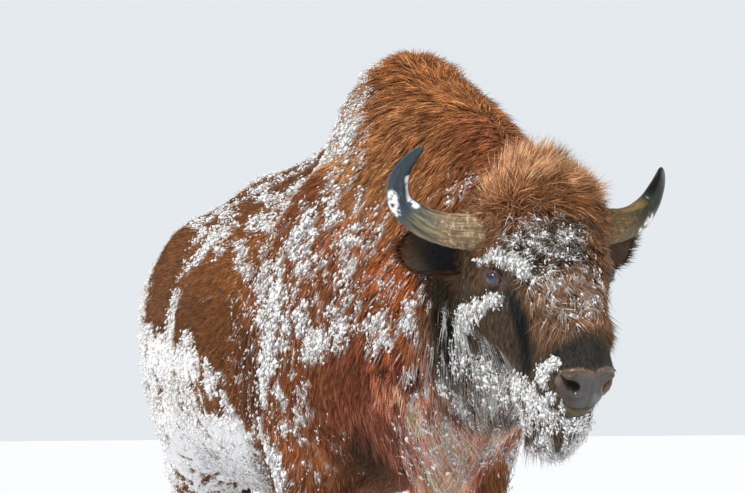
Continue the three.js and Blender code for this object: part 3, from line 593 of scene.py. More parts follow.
def frost(points):
    """How thickly snow lies at these points, 0 to 1."""
    r = regions(points)
    x, y, z, a, l, n, u = (r[key] for key in ("x", "y", "z", "a", "l", "n", "u"))
    streaked = points - np.outer(points @ [0.95, 0, 0.30], [0.95 * 0.62, 0, 0.30 * 0.62])
    streaks = noise(streaked, 0.034, 11) * 0.55 + noise(streaked, 0.014, 12) * 0.45
    lumps = noise(points, 0.040, 21) * 0.45 + noise(points, 0.017, 22) * 0.45
    spot, line = flat_board(u, z)
    place = np.stack([a, l, n], 1)
    weak = np.where(y > 0, 0.8, 1.0)
    back = r["body"] * rise(0.12, 0.02, x) * rise(1.12, 1.24, z)
    back = back * np.maximum(rise(1.34, 1.37, z), rise(-0.475, -0.455, u + 0.34 * (1.338 - z)))
    snow = back * rise(0.02, 0.50, streaks + 0.22 * rise(1.20, 1.42, z) - 0.06) * 0.60
    ridge = r["body"] * rise(0.10, 0.0, x) * rise(0.42, 0.75, (z - 1.18) + 1.1 * (0.28 - np.abs(y)))
    ridge = ridge * rise(-1.15, -1.0, x)
    snow = np.maximum(snow, ridge * rise(-0.35, 0.25, streaks) * 0.9)
    haunch = line(
        (-0.515, 1.165, 0.006), (-0.458, 1.286, 0.008), (-0.397, 1.342, 0.010), (-0.25, 1.425, 0.013)
    )
    snow = np.maximum(snow, haunch * r["body"] * rise(-0.5, 0.15, streaks) * 0.70)
    clean = spot(-0.39, 1.13, 0.085, 0.11)
    snow = snow * (1 - 0.93 * clean)
    rear = line(
        (-0.13, 1.40, 0.035), (-0.22, 1.27, 0.050), (-0.249, 1.15, 0.040), (-0.256, 1.03, 0.028),
        (-0.250, 0.92, 0.032), (-0.24, 0.80, 0.05)
    )
    folds = line((-0.105, 1.53, 0.006), (-0.15, 1.33, 0.008), edge=0.9)
    folds = np.maximum(folds, line((-0.085, 1.52, 0.006), (-0.12, 1.34, 0.008), edge=0.9))
    hump_back = spot(-0.055, 1.50, 0.055, 0.19, 0.5) * rise(0.34, 0.16, x)
    band = spot(-0.155, 1.14, 0.115, 0.075, 0.35)
    band = np.maximum(band, spot(0.00, 1.13, 0.040, 0.080, 0.4))
    band = np.maximum(band, spot(0.10, 1.16, 0.075, 0.060, 0.5) * 0.85)
    low = spot(-0.22, 0.88, 0.085, 0.16, 0.6)
    ahead = r["body"] * (x > -0.45)
    valley = line((-0.310, 1.15, 0.018), (-0.312, 1.04, 0.024), (-0.300, 0.95, 0.022), edge=0.35)
    snow = np.maximum(snow, ahead * rear * rise(-0.35, 0.30, lumps) * 0.88)
    snow = snow * (1 - 0.97 * valley * (x > -0.6))
    snow = np.maximum(snow, ahead * np.maximum(folds * 0.9, hump_back * 0.80) * rise(-0.45, 0.30, lumps))
    shoulder = spot(-0.09, 1.33, 0.075, 0.14, 0.5) * 0.74
    shoulder = np.maximum(shoulder, spot(0.07, 1.28, 0.10, 0.09, 0.6) * 0.32)
    snow = np.maximum(snow, ahead * shoulder * rise(-0.5, 0.4, lumps))
    snow = np.maximum(snow, ahead * band * rise(-0.38, 0.22, lumps) * 0.82)
    snow = np.maximum(snow, ahead * low * rise(-0.2, 0.4, lumps) * 0.62)
    roll = trail(place, HORN_ROLL)
    snow = np.maximum(snow, roll * 0.37)
    mane = spot(0.17, 0.96, 0.12, 0.20, 0.5) * (x > 0.15)
    snow = np.maximum(snow, r["body"] * mane * (0.46 + 0.12 * lumps))
    specks = r["front"] * (0.12 + 0.3 * rise(0.20, 0.75, lumps)) * rise(1.65, 1.25, z) * rise(0.72, 0.85, z)
    specks = specks * (1 - 0.8 * spot(-0.01, 0.86, 0.07, 0.08, 0.5))
    smooth = spot(-0.055, 1.00, 0.12, 0.085, 0.4)
    snow = np.maximum(snow, specks) * (1 - 0.85 * smooth * (x > -0.2)) * weak
    head = blob(place, [-0.022, -0.045, 0.105], [0.070, 0.085, 0.06], 0.6) * (0.41 + 0.1 * lumps)
    bridge = blob(place, [0.115, -0.02, 0.09], [0.10, 0.10, 0.07], 0.5) * (0.26 + 0.10 * lumps)
    head = np.maximum(head, bridge)
    head = np.maximum(head, r["beard"] * rise(0.20, -0.05, l) * (0.28 + 0.16 * r["chin"]))
    snow = np.maximum(snow, np.maximum(r["head"], rise(0.50, 0.60, x) * rise(-0.12, -0.03, a)) * head)
    crumbs = noise(points, 0.015, 26) * 0.7 + noise(points, 0.008, 27) * 0.8
    hanging = points * [1, 1, 0.28]
    strands = noise(hanging, 0.017, 28) * 0.8 + noise(hanging, 0.008, 29) * 0.8
    crumbs = blend(crumbs, (r["head"], noise(points, 0.010, 30) * 0.8 + noise(points, 0.0055, 35) * 0.8))
    long_hair = np.clip(r["beard"] + r["chest"] + r["neck"] * rise(1.15, 1.05, z), 0, 1)
    crumbs = blend(crumbs, (long_hair, strands))
    light = np.maximum(0.70 + 0.30 * rise(0.25, 0.75, snow), 0.92 * r["head"])
    snow = rise(-0.14, 0.14, crumbs + 1.35 * (snow * sizes().snow - 0.50)) * rise(0.02, 0.10, snow) * light
    caked = np.maximum(belly_cake(points, r), face_cake(points, r))
    snow = np.maximum(snow, caked * min(sizes().snow, 1))
    return snow * (1 - r["pad"]) * (1 - r["shank"]) * (1 - r["hollow"]) * (1 - 0.9 * r["lids"])


# Tones of the front half of the body: a spot on the board, its strength, and the colour with its tint.
FRONT_TONES = (
    # The first spot is painted shade: dark red-brown in the hollow between hump and head.
    ((0.19, 1.56, 0.06, 0.06), 0.8, "chest", 0.75),
    ((0.07, 1.53, 0.13, 0.15), 0.9, "hump", (1.55, 1.75, 2.0)),
    ((-0.05, 1.52, 0.045, 0.15), 0.8, "hump", (1.8, 2.1, 2.4)),
    ((-0.20, 0.85, 0.08, 0.12), 0.7, "mane", 1.5),
    ((-0.09, 1.33, 0.10, 0.10), 0.6, "mane", (1.6, 1.45, 1.2)),
    ((0.08, 1.28, 0.08, 0.06), 0.6, "mane", (2.5, 1.75, 1.0)),
)
# Dark lines, on their boards: painted shade in the fold behind the shoulder and painted shadow down the
# cheek; in the head's frame: painted shadow over the horn and a dark band below the eye.
SHOULDER_FOLD_SHADE = ((-0.305, 1.13, 0.02), (-0.290, 0.95, 0.025))
CHEEK_SHADOW = (
    (-0.272, 0.035, 0.026), (-0.252, -0.010, 0.034), (-0.234, -0.075, 0.027), (-0.228, -0.135, 0.020),
)
HORN_SHADOW = (((-0.286, -0.125, -0.062), 0.013), ((-0.241, -0.116, -0.013), 0.012))
EYE_BAND = (
    ((0.050, 0.118, 0.010), 0.018), ((0.095, 0.100, -0.015), 0.020), ((0.125, 0.092, -0.060), 0.022),
    ((0.170, 0.090, -0.100), 0.022),
)


def marking(points):
    """The coat's colour at these points."""
    r = regions(points)
    x, z, a, l, n, u = (r[key] for key in ("x", "z", "a", "l", "n", "u"))
    tone = paints()
    broad = noise(points, 0.16, 31)
    fine = noise(points, 0.045, 32)
    spot, line = flat_board(u, z)
    face_spot, face_line = flat_board(to_head(points) @ FACE_RIGHT, to_head(points) @ FACE_UP)
    place = np.stack([a, l, n], 1)
    both_sides = np.stack([a, np.abs(l), n], 1)
    front, head, body, ear, crown = (r[key] for key in ("front", "head", "body", "ear", "crown"))
    cheek = face_line(*CHEEK_SHADOW, edge=0.5) * rise(0.20, 0.35, x) * (l < 0) * 0.9
    left_brow = blob(place, [-0.02, 0.132, 0.05], [0.05, 0.022, 0.03], 0.5)
    behind = head * rise(-0.06, -0.16, a) * rise(0.02, -0.06, n)
    visor = rise(0.218, 0.250, a + 0.025 * fine) * rise(0.31, 0.27, a - np.maximum(n, 0)) * head
    visor = visor * rise(-0.05, -0.02, n) * (0.9 - 0.5 * rise(0.025, 0.055, l))
    colour = np.ones((len(points), 3)) * tone["back"]
    colour = blend(
        colour,
        (front, tone["mane"]),
        (r["hump"], tone["hump"]),
        *((spot(*at, 0.6) * front * share, tone[name] * tint) for at, share, name, tint in FRONT_TONES),
        (spot(0.02, 1.00, 0.16, 0.14, 0.5) * front, tone["chest"]),
        # Painted shade in the fold behind the shoulder.
        (line(*SHOULDER_FOLD_SHADE, edge=0.5) * body * 0.6, tone["back"] * 0.35),
        (spot(-0.33, 1.30, 0.13, 0.10, 0.6) * body * 0.7, tone["back"] * [1.6, 1.5, 1.0]),
        (spot(-0.385, 1.12, 0.085, 0.11, 0.5) * body * 0.8, tone["back"] * [0.80, 0.72, 0.52]),
        (r["neck"] * rise(1.10, 0.95, z) * 0.7, tone["beard"] * [8.4, 4.4, 3.7]),
        (r["chest"] * 0.8, tone["beard"] * [8.8, 4.3, 3.6]),
        # Painted shade: a dark crease low on the chest.
        (spot(-0.01, 0.86, 0.075, 0.09, 0.6) * front * 0.8, tone["chest"] * [0.10, 0.32, 0.55]),
        (r["belly"] * 0.7, tone["belly"]),
        (r["leg"] * 0.25, tone["belly"]),
        (r["shank"], tone["leg"]),
        (r["brush"], tone["face"] * 0.6),
        (head, tone["face"]),
        (head * rise(0.02, -0.08, a) * rise(-0.10, -0.02, n), tone["mop"] * 0.42),
        (behind * (1 - ear), tone["face"] * [1.45, 1.45, 1.30]),
        (crown, tone["mop"]),
        (crown * rise(-0.17, -0.11, a) * 0.92, tone["mop"] * [0.36, 0.26, 0.15]),
        (face_spot(-0.20, 0.22, 0.05, 0.035, 0.6) * head * 0.6, tone["mop"] * [1.3, 1.2, 1.2]),
        (crown * rise(0.06, 0.14, l) * rise(0.10, 0.03, n) * 0.5, tone["mop"] * 0.5),
        (r["bridge"], tone["bridge"]),
        (r["forehead"], tone["face"] * 0.58),
        (r["bridge"] * rise(0.03, 0.09, l) * 0.7, tone["mop"] * [0.62, 0.55, 0.5]),
        (r["bridge"] * rise(0.17, 0.21, a + 0.025 * fine) * 0.7, tone["face"] * 0.55),
        (r["beard"], tone["beard"]),
        (r["socket"] * 0.9, tone["bridge"] * [0.95, 0.85, 0.72]),
        (ear, tone["mane"] * 0.38),
        (ear * rise(0.05, 0.08, l), tone["face"] * [0.95, 0.80, 0.60]),
        (cheek, tone["face"] * 0.15),
        # The ears' hollows near black as painted shade, the far one's only partly.
        (r["hollow"] * np.where(l > 0, 0.35, 1.0), tone["ear"]),
        (r["hollow"] * rise(-0.215, -0.245, l) * 0.6, tone["face"] * [0.50, 0.42, 0.32]),
        (trail(place, HORN_SHADOW, 0.5) * 0.8, tone["mane"] * 0.22),
        (left_brow * 0.7, tone["face"] * [2.6, 2.3, 2.2]),
        (trail(both_sides, EYE_BAND, 0.6) * head * 0.95, tone["face"] * [0.15, 0.24, 0.42]),
        (visor, tone["face"] * [0.22, 0.29, 0.40]),
        (rise(0.20, 0.24, a) * head * rise(-0.02, -0.05, n) * 0.6, tone["face"] * 0.6),
        (r["eyes"] * 0.8, tone["face"] * [0.50, 0.44, 0.40]),
    )
    hanging = np.clip(r["beard"] * (1 - r["chin"]) + r["chest"] + r["neck"] * rise(1.15, 1.05, z), 0, 1)
    streak = np.clip(2.2 * noise(points * [1, 1, 0.25], 0.020, 33), -1, 1)
    colour = colour * np.exp(0.75 * hanging * streak)[:, None]
    return colour * (1 + 0.13 * broad + 0.13 * fine)[:, None]


# ---------------------------------------------------------------- meshes and arrays


def get_vectors(collection, key="co"):
    out = np.empty(len(collection) * 3, np.float32)
    collection.foreach_get(key, out)
    return out.reshape(-1, 3).astype(float)


def set_points(mesh, points):
    mesh.vertices.foreach_set("co", points.astype(np.float32).ravel())
    mesh.update()


def vertex_normals(mesh):
    return get_vectors(mesh.vertex_normals, "vector")


def loop_edges(mesh):
    out = np.empty(len(mesh.loops), np.int32)
    mesh.loops.foreach_get("edge_index", out)
    return out


def edge_pairs(mesh):
    out = np.empty(len(mesh.edges) * 2, np.int32)
    mesh.edges.foreach_get("vertices", out)
    return out.reshape(-1, 2)


def relax(points, edges, share, rounds):
    """Points drawn by a share of the way towards the middle of their neighbours, several times."""
    count = len(points)
    degree = np.maximum(np.bincount(edges.ravel(), minlength=count), 1)[:, None]
    for _ in range(rounds):
        total = np.stack([
            np.bincount(
                edges[:, 0], points[edges[:, 1], k], count
            ) + np.bincount(edges[:, 1], points[edges[:, 0], k], count)
            for k in range(3)
        ], axis=1)
        points = points + share[:, None] * (total / degree - points)
    return points


def only(obj):
    """Makes obj the one selected and active object."""
    bpy.ops.object.select_all(action="DESELECT")
    obj.select_set(True)
    bpy.context.view_layer.objects.active = obj
    return obj


def new_object(name, mesh):
    obj = bpy.data.objects.new(name, mesh)
    bpy.context.scene.collection.objects.link(obj)
    return obj


def mesh_of(name, points, triangles, values=None, tints=None, uvs=None):
    """A mesh from arrays. values are numbers for each vertex, tints are colours for each vertex."""
    mesh = bpy.data.meshes.new(name)
    mesh.vertices.add(len(points))
    mesh.vertices.foreach_set("co", np.ascontiguousarray(points, np.float32).ravel())
    mesh.loops.add(triangles.size)
    mesh.loops.foreach_set("vertex_index", np.ascontiguousarray(triangles, np.int32).ravel())
    mesh.polygons.add(len(triangles))
    mesh.polygons.foreach_set("loop_start", np.arange(0, triangles.size, 3, dtype=np.int32))
    mesh.update(calc_edges=True)
    mesh.shade_smooth()
    paint(mesh, values, tints)
    if uvs is not None:
        layer = mesh.uv_layers.new(name="OFBake")
        layer.data.foreach_set("uv", uvs[triangles.ravel()].astype(np.float32).ravel())
    return mesh


def paint(mesh, values=None, tints=None):
    """Stores numbers and colours on a mesh's vertices."""
    for name, value in (values or {}).items():
        layer = mesh.attributes.new(name, "FLOAT", "POINT")
        layer.data.foreach_set("value", np.asarray(value, np.float32))
    for name, value in (tints or {}).items():
        layer = mesh.attributes.new(name, "FLOAT_COLOR", "POINT")
        rgba = np.ones((len(value), 4), np.float32)
        rgba[:, :3] = np.clip(value, 0, 1)
        layer.data.foreach_set("color", rgba.ravel())


def finish(obj, material, slot, *nodes):
    """Gives a piece its material and its place on the body, and hides the nodes that it stands for. slot is
    not used.
    """
    obj.data.materials.clear()
    obj.data.materials.append(material)
    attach(obj, BODY)
    if nodes:
        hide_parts(*nodes)
    return obj


def edit(operator, **settings):
    """Runs an edit-mode operator on the whole active mesh."""
    bpy.ops.object.mode_set(mode="EDIT")
    bpy.ops.mesh.select_all(action="SELECT")
    operator(**settings)
    bpy.ops.object.mode_set(mode="OBJECT")


def cad_copy(node):
    """A merged copy of a CAD node, as an object of its own."""
    obj = new_object("copy_" + node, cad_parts[node].data.copy())
    obj.data.materials.clear()
    only(obj)
    edit(bpy.ops.mesh.remove_doubles, threshold=1e-5)
    return obj


# ---------------------------------------------------------------- materials


class Wire:
    """A socket in a shader. Sums on it add Math nodes."""

    def __init__(self, shader, socket):
        self.shader, self.socket = shader, socket

    def _sum(self, operation, a, b):
        return self.shader.add("ShaderNodeMath", {"operation": operation}, {0: a, 1: b})

    def __add__(self, other):
        return self._sum("ADD", self, other)

    __radd__ = __add__

    def __sub__(self, other):
        return self._sum("SUBTRACT", self, other)

    def __rsub__(self, other):
        return self._sum("SUBTRACT", other, self)

    def __mul__(self, other):
        return self._sum("MULTIPLY", self, other)

    __rmul__ = __mul__

    def __truediv__(self, other):
        return self._sum("DIVIDE", self, other)

    def __rtruediv__(self, other):
        return self._sum("DIVIDE", other, self)

    def __pow__(self, other):
        return self._sum("POWER", self, other)

    def __rpow__(self, other):
        return self._sum("POWER", other, self)


class Shader:
    """A material under construction."""

    def __init__(self, name):
        self.material = bpy.data.materials.new(name)
        self.material.use_nodes = True
        self.nodes = self.material.node_tree.nodes
        self.links = self.material.node_tree.links
        self.nodes.clear()

    def add(self, kind, settings=None, sockets=None, output=0):
        """One node: its type, its settings, its sockets' values or links. Gives one output as a Wire."""
        node = self.nodes.new(kind)
        for key, value in (settings or {}).items():
            if key == "stops":
                ramp = node.color_ramp
                while len(ramp.elements) < len(value):
                    ramp.elements.new(0.5)
                for element, (place, colour) in zip(ramp.elements, value):
                    element.position = place
                    element.color = (*colour, 1.0)
            else:
                setattr(node, key, value)
        for key, value in (sockets or {}).items():
            if isinstance(value, Wire):
                self.links.new(value.socket, node.inputs[key])
            else:
                node.inputs[key].default_value = value
        return Wire(self, node.outputs[output]) if len(node.outputs) else None

    def number(self, name):
        return self.add("ShaderNodeAttribute", {"attribute_name": name}, output="Fac")

    def tint(self, name):
        return self.add("ShaderNodeAttribute", {"attribute_name": name}, output="Color")

    def place(self):
        return self.add("ShaderNodeTexCoord", output="Object")

    def mix(self, share, a, b, kind="MIX"):
        """Colour a, or b where share is 1."""
        a, b = (v if isinstance(v, Wire) else (*v, 1.0) for v in (a, b))
        settings = {"data_type": "RGBA", "blend_type": kind, "clamp_factor": True}
        return self.add("ShaderNodeMix", settings, {0: share, 6: a, 7: b}, 2)

    def noise(self, scale, detail=3.0, rough=0.55, vector=None):
        """Noise over the object's own places, or over another vector."""
        vector = self.place() if vector is None else vector
        sockets = {"Vector": vector, "Scale": scale, "Detail": detail, "Roughness": rough}
        return self.add("ShaderNodeTexNoise", sockets=sockets)

    def vector(self, name):
        return self.add("ShaderNodeAttribute", {"attribute_name": name}, output="Vector")

    def stretch(self, vector, scale):
        return self.add("ShaderNodeMapping", {"vector_type": "POINT"}, {"Vector": vector, "Scale": scale})

    def step(self, low, high, value):
        """0 below low and 1 above high, smooth between."""
        return self.add(
            "ShaderNodeMapRange", {"interpolation_type": "SMOOTHSTEP"},
            {"Value": value, "From Min": low, "From Max": high},
        )

    def bump(self, height, strength, distance):
        sockets = {"Height": height, "Strength": strength, "Distance": distance}
        return self.add("ShaderNodeBump", sockets=sockets)

    def finish(self, **sockets):
        """Ends in a Principled BSDF with these sockets, given with _ for a space."""
        sockets = {name.replace("_", " "): value for name, value in sockets.items()}
        surface = self.add("ShaderNodeBsdfPrincipled", sockets=sockets)
        self.add("ShaderNodeOutputMaterial", sockets={"Surface": surface})
        return self.material


def grey(value):
    return (value, value, value)


def coat_material(name):
    """Hair: darker at its roots as painted shade deep in the coat, lighter at its tips partly as painted
    highlight, darkened in the gaps between clumps as painted shade, whitened where it holds snow.
    """
    shader = Shader(name)
    along, tone, snow = shader.number("along"), shader.number("tone"), shader.number("frost")
    hair = shader.tint("marking")
    # Roots darkened as painted shade deep in the coat; tips lightened, partly their own paler ends and
    # partly painted highlight.
    root = shader.mix(1.0, hair, (0.30, 0.25, 0.22), "MULTIPLY")
    tip = shader.mix(1.0, hair, (1.65, 1.62, 1.60), "MULTIPLY")
    dark = shader.mix(1.0, hair, (0.30, 0.23, 0.18), "MULTIPLY")
    colour = shader.mix(shader.step(0.0, 0.85, along), root, tip)
    # tone darkens the hair as painted shade in the gaps between clumps, and at random.
    colour = shader.mix(tone, colour, dark)
    colour = shader.mix(shader.step(0.40, 0.75, shader.noise(9.0)) * 0.15, colour, dark)
    colour = shader.mix(snow * shader.step(0.15, 0.70, along + snow * 0.45), colour, tuple(colours().snow))
    return shader.finish(Base_Color=colour, Roughness=0.75, Specular_IOR_Level=0.18)


def skin_material():
    """Skin: under-fur in the coat's colours, darkened as painted shade deep in the coat; bare leathery skin
    on the muzzle and lids, with painted highlights and painted shade on the nose.
    """
    shader = Shader("bison_skin")
    hair = shader.tint("marking")
    bare, snow = shader.number("bare"), shader.number("frost")
    strands = shader.noise(260.0, 4.0, 0.6, shader.vector("strand"))
    # Under-fur darkened as painted shade deep in the coat.
    dark, pale = (shader.mix(1.0, hair, grey(share), "MULTIPLY") for share in (0.38, 0.85))
    under = shader.mix(strands, dark, pale)
    under = shader.mix(snow * shader.step(0.3, 0.7, strands) * 0.7, under, tuple(colours().snow))
    cells = shader.add("ShaderNodeTexVoronoi", {"feature": "DISTANCE_TO_EDGE"},
                       {"Vector": shader.place(), "Scale": 210.0})
    blotch = shader.noise(38.0, 4.0)
    leather = shader.mix(blotch, shader.mix(1.0, shader.tint("leather"), grey(0.62), "MULTIPLY"),
                         shader.mix(1.0, shader.tint("leather"), (1.35, 1.30, 1.26), "MULTIPLY"))
    leather = shader.mix(shader.step(0.0, 0.10, cells) * -0.25 + 0.25, leather, grey(0.02))
    colour = shader.mix(bare, under, leather)
    height = shader.step(0.0, 0.16, cells) * bare * 0.35 + blotch * bare * 0.8 + strands * (1 - bare)
    return shader.finish(
        Base_Color=colour, Roughness=0.85 - bare * 0.45 - bare * blotch * 0.15,
        Specular_IOR_Level=0.4, Coat_Weight=bare * 0.45, Coat_Roughness=0.22,
        Normal=shader.bump(height, 0.55, 0.0022),
    )


# ---------------------------------------------------------------- skin

FLESH = (
    "trunk", "neck", "head", "muzzle", "chin", "beard", "leg_fore_left", "leg_fore_right", "leg_hind_left",
    "leg_hind_right", "ear_left", "ear_right", "tail", "tail_brush",
)
SEAL = 0.0012  # by which the copies grow, so that they meet
NOSTRIL_PLACE = (0.318, 0.043, -0.020)
MOUTH_PLACE = (0.260, 0.0, -0.091)
MOUTH_OUT = (-0.14, 0.0, 0.99)


def seal(obj):
    points, normals = get_vectors(obj.data.vertices), vertex_normals(obj.data)
    set_points(obj.data, points + SEAL * normals)


def cut_horn(obj):
    """Keeps only the part of a horn that is set in the head."""
    only(obj)
    inward = HEAD_AXES[1] * (1 if np.mean(to_head(get_vectors(obj.data.vertices))[:, 1]) > 0 else -1)
    place = from_head([-0.10, 0.146 * np.sign(inward @ HEAD_AXES[1]), 0.034])
    edit(bpy.ops.mesh.bisect, plane_co=place, plane_no=inward, use_fill=True, clear_outer=True)
    return obj


def subdivide_near(mesh, chosen):
    """Splits the faces whose middles are chosen into four."""
    tool = bmesh.new()
    tool.from_mesh(mesh)
    tool.faces.ensure_lookup_table()
    edges = {edge for face, keep in zip(tool.faces, chosen) if keep for edge in face.edges}
    bmesh.ops.subdivide_edges(tool, edges=list(edges), cuts=1, use_grid_fill=True)
    tool.to_mesh(mesh)
    tool.free()
    mesh.update()


def face_middles(mesh):
    return get_vectors(mesh.polygons, "center")


EYE_LATERAL = 0.145  # middle of the lids, a little further out than the eyeball's


def fine_zone(points, level):
    """Where the skin needs small faces: muzzle, mouth and eyes."""
    a, l, n = to_head(points).T
    near_eye = np.full(len(points), np.inf)
    for side in (RIGHT, LEFT):
        offset = np.stack([a - EYE_PLACE[0], l - side * EYE_LATERAL, n - EYE_PLACE[2]], 1)
        near_eye = np.minimum(near_eye, np.linalg.norm(offset, axis=1))
    back = 0.185 if level == 0 else 0.222
    return ((a > back) & (a < 0.45) & (n > -0.19)) | (near_eye < (0.075 if level == 0 else 0.056))


def sculpt_eyes(points):
    """Lids: a rim that wraps the eyeball, a fold round it, and a socket behind the opening."""
    radius = sizes().eye_radius
    for side in (RIGHT, LEFT):
        h, u, v, reach = eye_reach(points, side)
        out = eye_axes(side)[1]
        ball = np.sqrt(np.maximum(radius ** 2 - u ** 2 - v ** 2, 0))
        near = (h > -0.03) & (reach < 3.2)
        lid = ball + 0.0030 + 0.0018 * bell(reach, 1.16, 0.14)
        lid = np.maximum(lid, h * rise(1.2, 2.6, reach))
        fold = 0.0024 * bell(reach, 2.15, 0.25) - 0.0032 * bell(reach, 1.72, 0.16)
        goal = blend(ball - 0.006, (rise(0.90, 1.04, reach), lid), (rise(1.35, 2.9, reach), h))
        goal = goal + fold * rise(1.2, 1.5, reach)
        points = points + np.where(near, goal - h, 0)[:, None] * out
    return points


NOSTRIL = (  # how far out to the side and up from its middle, and half width
    ((-0.005, -0.006, 0), 0.0110), ((0.004, -0.005, 0), 0.0105),
    ((0.018, -0.003, 0), 0.0062), ((0.033, -0.002, 0), 0.0028),
)


def nostril_gap(points, side):
    """Distance from a nostril's line in half widths, places on the nose, and which are near."""
    a, l, n = to_head(points).T
    offset = np.stack([a, l * side, n], 1) - NOSTRIL_PLACE
    sideways, above = unit(np.array([-0.50, 1.0, 0.0])), unit(np.array([0.22, 0.0, 1.0]))
    place = np.stack([offset @ sideways, offset @ above, a * 0], 1)
    return path_gap(place, NOSTRIL), place, (a > 0.25) & (l * side > -0.01) & (np.abs(offset[:, 2]) < 0.05)


def sculpt_nose(points):
    """Nostrils with their wings, the groove between them, the rim of the pad and the line of the mouth."""
    for side in (RIGHT, LEFT):
        gap, place, near = nostril_gap(points, side)
        front = unit(np.array([1.0, side * 0.50, 0.0]))
        lateral, high = place[:, 0], place[:, 1]
        pit = -0.030 * rise(1.12, 0.45, gap) * rise(0.040, 0.004, lateral)
        under = rise(0.012, -0.010, high - 0.5 * lateral)
        wing = 0.0050 * bell(gap, 1.65, 0.33) * (0.35 + 0.65 * under)
        moat = -0.0036 * bell(gap, 2.55, 0.36) * under
        brow = 0.0030 * bell(gap, 1.7, 0.4) * rise(0.0, 0.012, high) * rise(0.05, 0.03, lateral)
        points = points + np.where(near, pit + wing + moat + brow, 0)[:, None] * (front @ HEAD_AXES)
    a, l, n = to_head(points).T
    groove = bell(l, -0.002, 0.0030) * rise(0.300, 0.315, a)
    groove = groove * rise(0.002, -0.015, n) * rise(-0.085, -0.075, n)
    points = points - groove[:, None] * 0.0045 * HEAD_AXES[0]
    edge = pad_edge(a, l, n)
    lip = bell(edge, 0.005, 0.0050) * rise(-0.065, -0.045, n) * rise(0.24, 0.26, a)
    fold = -bell(edge, 0.016, 0.0045) * rise(-0.030, -0.015, n) * rise(0.24, 0.26, a)
    middle = from_head(np.stack([a * 0 + 0.235, l * 0.2, n * 0.5 - 0.02], 1))
    points = points + (lip * 0.0046 + fold * 0.0022)[:, None] * unit(points - middle)
    gap = (np.stack([a, l, n], 1) - MOUTH_PLACE) @ np.array(MOUTH_OUT)
    gap = gap - 0.30 * np.maximum(np.abs(l) - 0.030, 0)
    line = 0.011 * bell(gap, 0, 0.0040) - 0.0030 * bell(gap, 0.0085, 0.0045)
    middle = from_head(np.stack([a * 0 + 0.235, l * 0.2, n], 1))
    return points + (line * rise(0.20, 0.235, a))[:, None] * unit(middle - points)


def make_skin():
    parts = [cad_copy(node) for node in FLESH] + [cut_horn(cad_copy("horn_" + side)) for side in SIDES]
    parts += [cad_copy("eye_" + side) for side in SIDES]
    for part in parts:
        seal(part)
    bpy.ops.object.select_all(action="DESELECT")
    for part in parts:
        part.select_set(True)
    bpy.context.view_layer.objects.active = parts[0]
    bpy.ops.object.join()
    skin = bpy.context.view_layer.objects.active
    skin.name = "skin"
    mesh = skin.data
    mesh.name = "skin"
    mesh.remesh_voxel_size = sizes().voxel
    mesh.remesh_voxel_adaptivity = 0
    bpy.ops.object.voxel_remesh()
    mesh = skin.data
    points, edges = get_vectors(mesh.vertices), edge_pairs(mesh)
    r = regions(points)
    soft = blend(
        np.full(len(points), 0.5), (r["ear"], 0.12), (rise(0.16, 0.10, r["z"]), 0.2), (r["tail"], 0.15)
    )
    soft = blend(soft, (r["muzzle"], 0.16), (r["eyes"], 0.2), (r["socket"], 0.12))
    points = relax(points, edges, soft, 16)
    set_points(mesh, points)
    normals = vertex_normals(mesh)
    depth = coat_depth(points, normals)
    for _ in range(6):
        normals = vertex_normals(mesh)
        points = points - normals * (depth / 6)[:, None]
        points = relax(points, edges, soft * 0.5, 1)
        set_points(mesh, points)
    for level in (0, 1):
        subdivide_near(mesh, fine_zone(face_middles(mesh), level))
        points, edges = get_vectors(mesh.vertices), edge_pairs(mesh)
        fine = rise(0.165, 0.20, to_head(points)[:, 0]) * regions(points)["head"]
        fine = np.maximum(fine, regions(points)["eyes"])
        set_points(mesh, relax(points, edges, fine * 0.5, 5))
    points = get_vectors(mesh.vertices)
    set_points(mesh, sculpt_nose(sculpt_eyes(points)))
    points, edges = get_vectors(mesh.vertices), edge_pairs(mesh)
    close = fine_zone(points, 1).astype(float)
    set_points(mesh, relax(points, edges, close * 0.25, 2))
    mesh.shade_smooth()
    paint_skin(mesh)
    skin = finish(skin, skin_material(), "coat", *FLESH)
    return skin


def paint_skin(mesh):
    points = get_vectors(mesh.vertices)
    r = regions(points)
    c = colours()
    bare = np.clip(r["pad"] + r["lids"], 0, 1)
    a, l, n = r["a"], r["l"], r["n"]
    edge = pad_edge(a, l, n)
    gap = np.minimum(*(nostril_gap(points, side)[0] for side in (RIGHT, LEFT)))
    muzzle, far = np.array(c.muzzle), rise(-0.005, 0.005, l)
    olive = muzzle * [1.15, 1.02, 0.55]
    leather = blend(
        np.ones((len(points), 3)) * muzzle * [0.80, 0.96, 1.20],
        (rise(0.024, 0.046, np.abs(l)) * 0.95 * (1 - 0.6 * far), olive * 0.36),
        (rise(-0.070, -0.076, n) * rise(-0.086, -0.080, n), muzzle * [1.7, 1.4, 1.25]),
        (rise(-0.080, -0.084, n), olive * [0.85, 0.85, 0.70]),
        # The pad's paler rim, lightened further as a painted highlight along its top.
        (rise(0.026, 0.012, edge) * rise(-0.05, -0.03, n), muzzle * [2.0, 1.6, 1.3]),
        (rise(1.7, 2.1, gap) * rise(3.0, 2.4, gap) * rise(0.02, -0.01, n) * 0.5, olive * 0.6),
        # A painted highlight on the rim of the far nostril.
        (rise(1.75, 1.50, gap) * far * rise(0.062, 0.050, l) * 0.8, muzzle * [2.6, 2.3, 2.1]),
        # Painted shade inside the nostrils.
        (rise(1.25, 0.85, gap), muzzle * [0.20, 0.31, 0.28]),
        (rise(1.35, 1.05, gap) * far, muzzle * [1.5, 0.85, 0.38]),
        (r["eyes"], np.array(c.lid)),
    )
    paint(mesh, {"bare": bare, "frost": frost(points)}, {"marking": marking(points), "leather": leather})
    normals = vertex_normals(mesh)
    run = unit(coat_lie(points, normals)["run"])
    strand = points - 0.88 * run * np.sum(points * run, axis=1, keepdims=True)
    layer = mesh.attributes.new("strand", "FLOAT_VECTOR", "POINT")
    layer.data.foreach_set("vector", strand.astype(np.float32).ravel())


# ---------------------------------------------------------------- coat

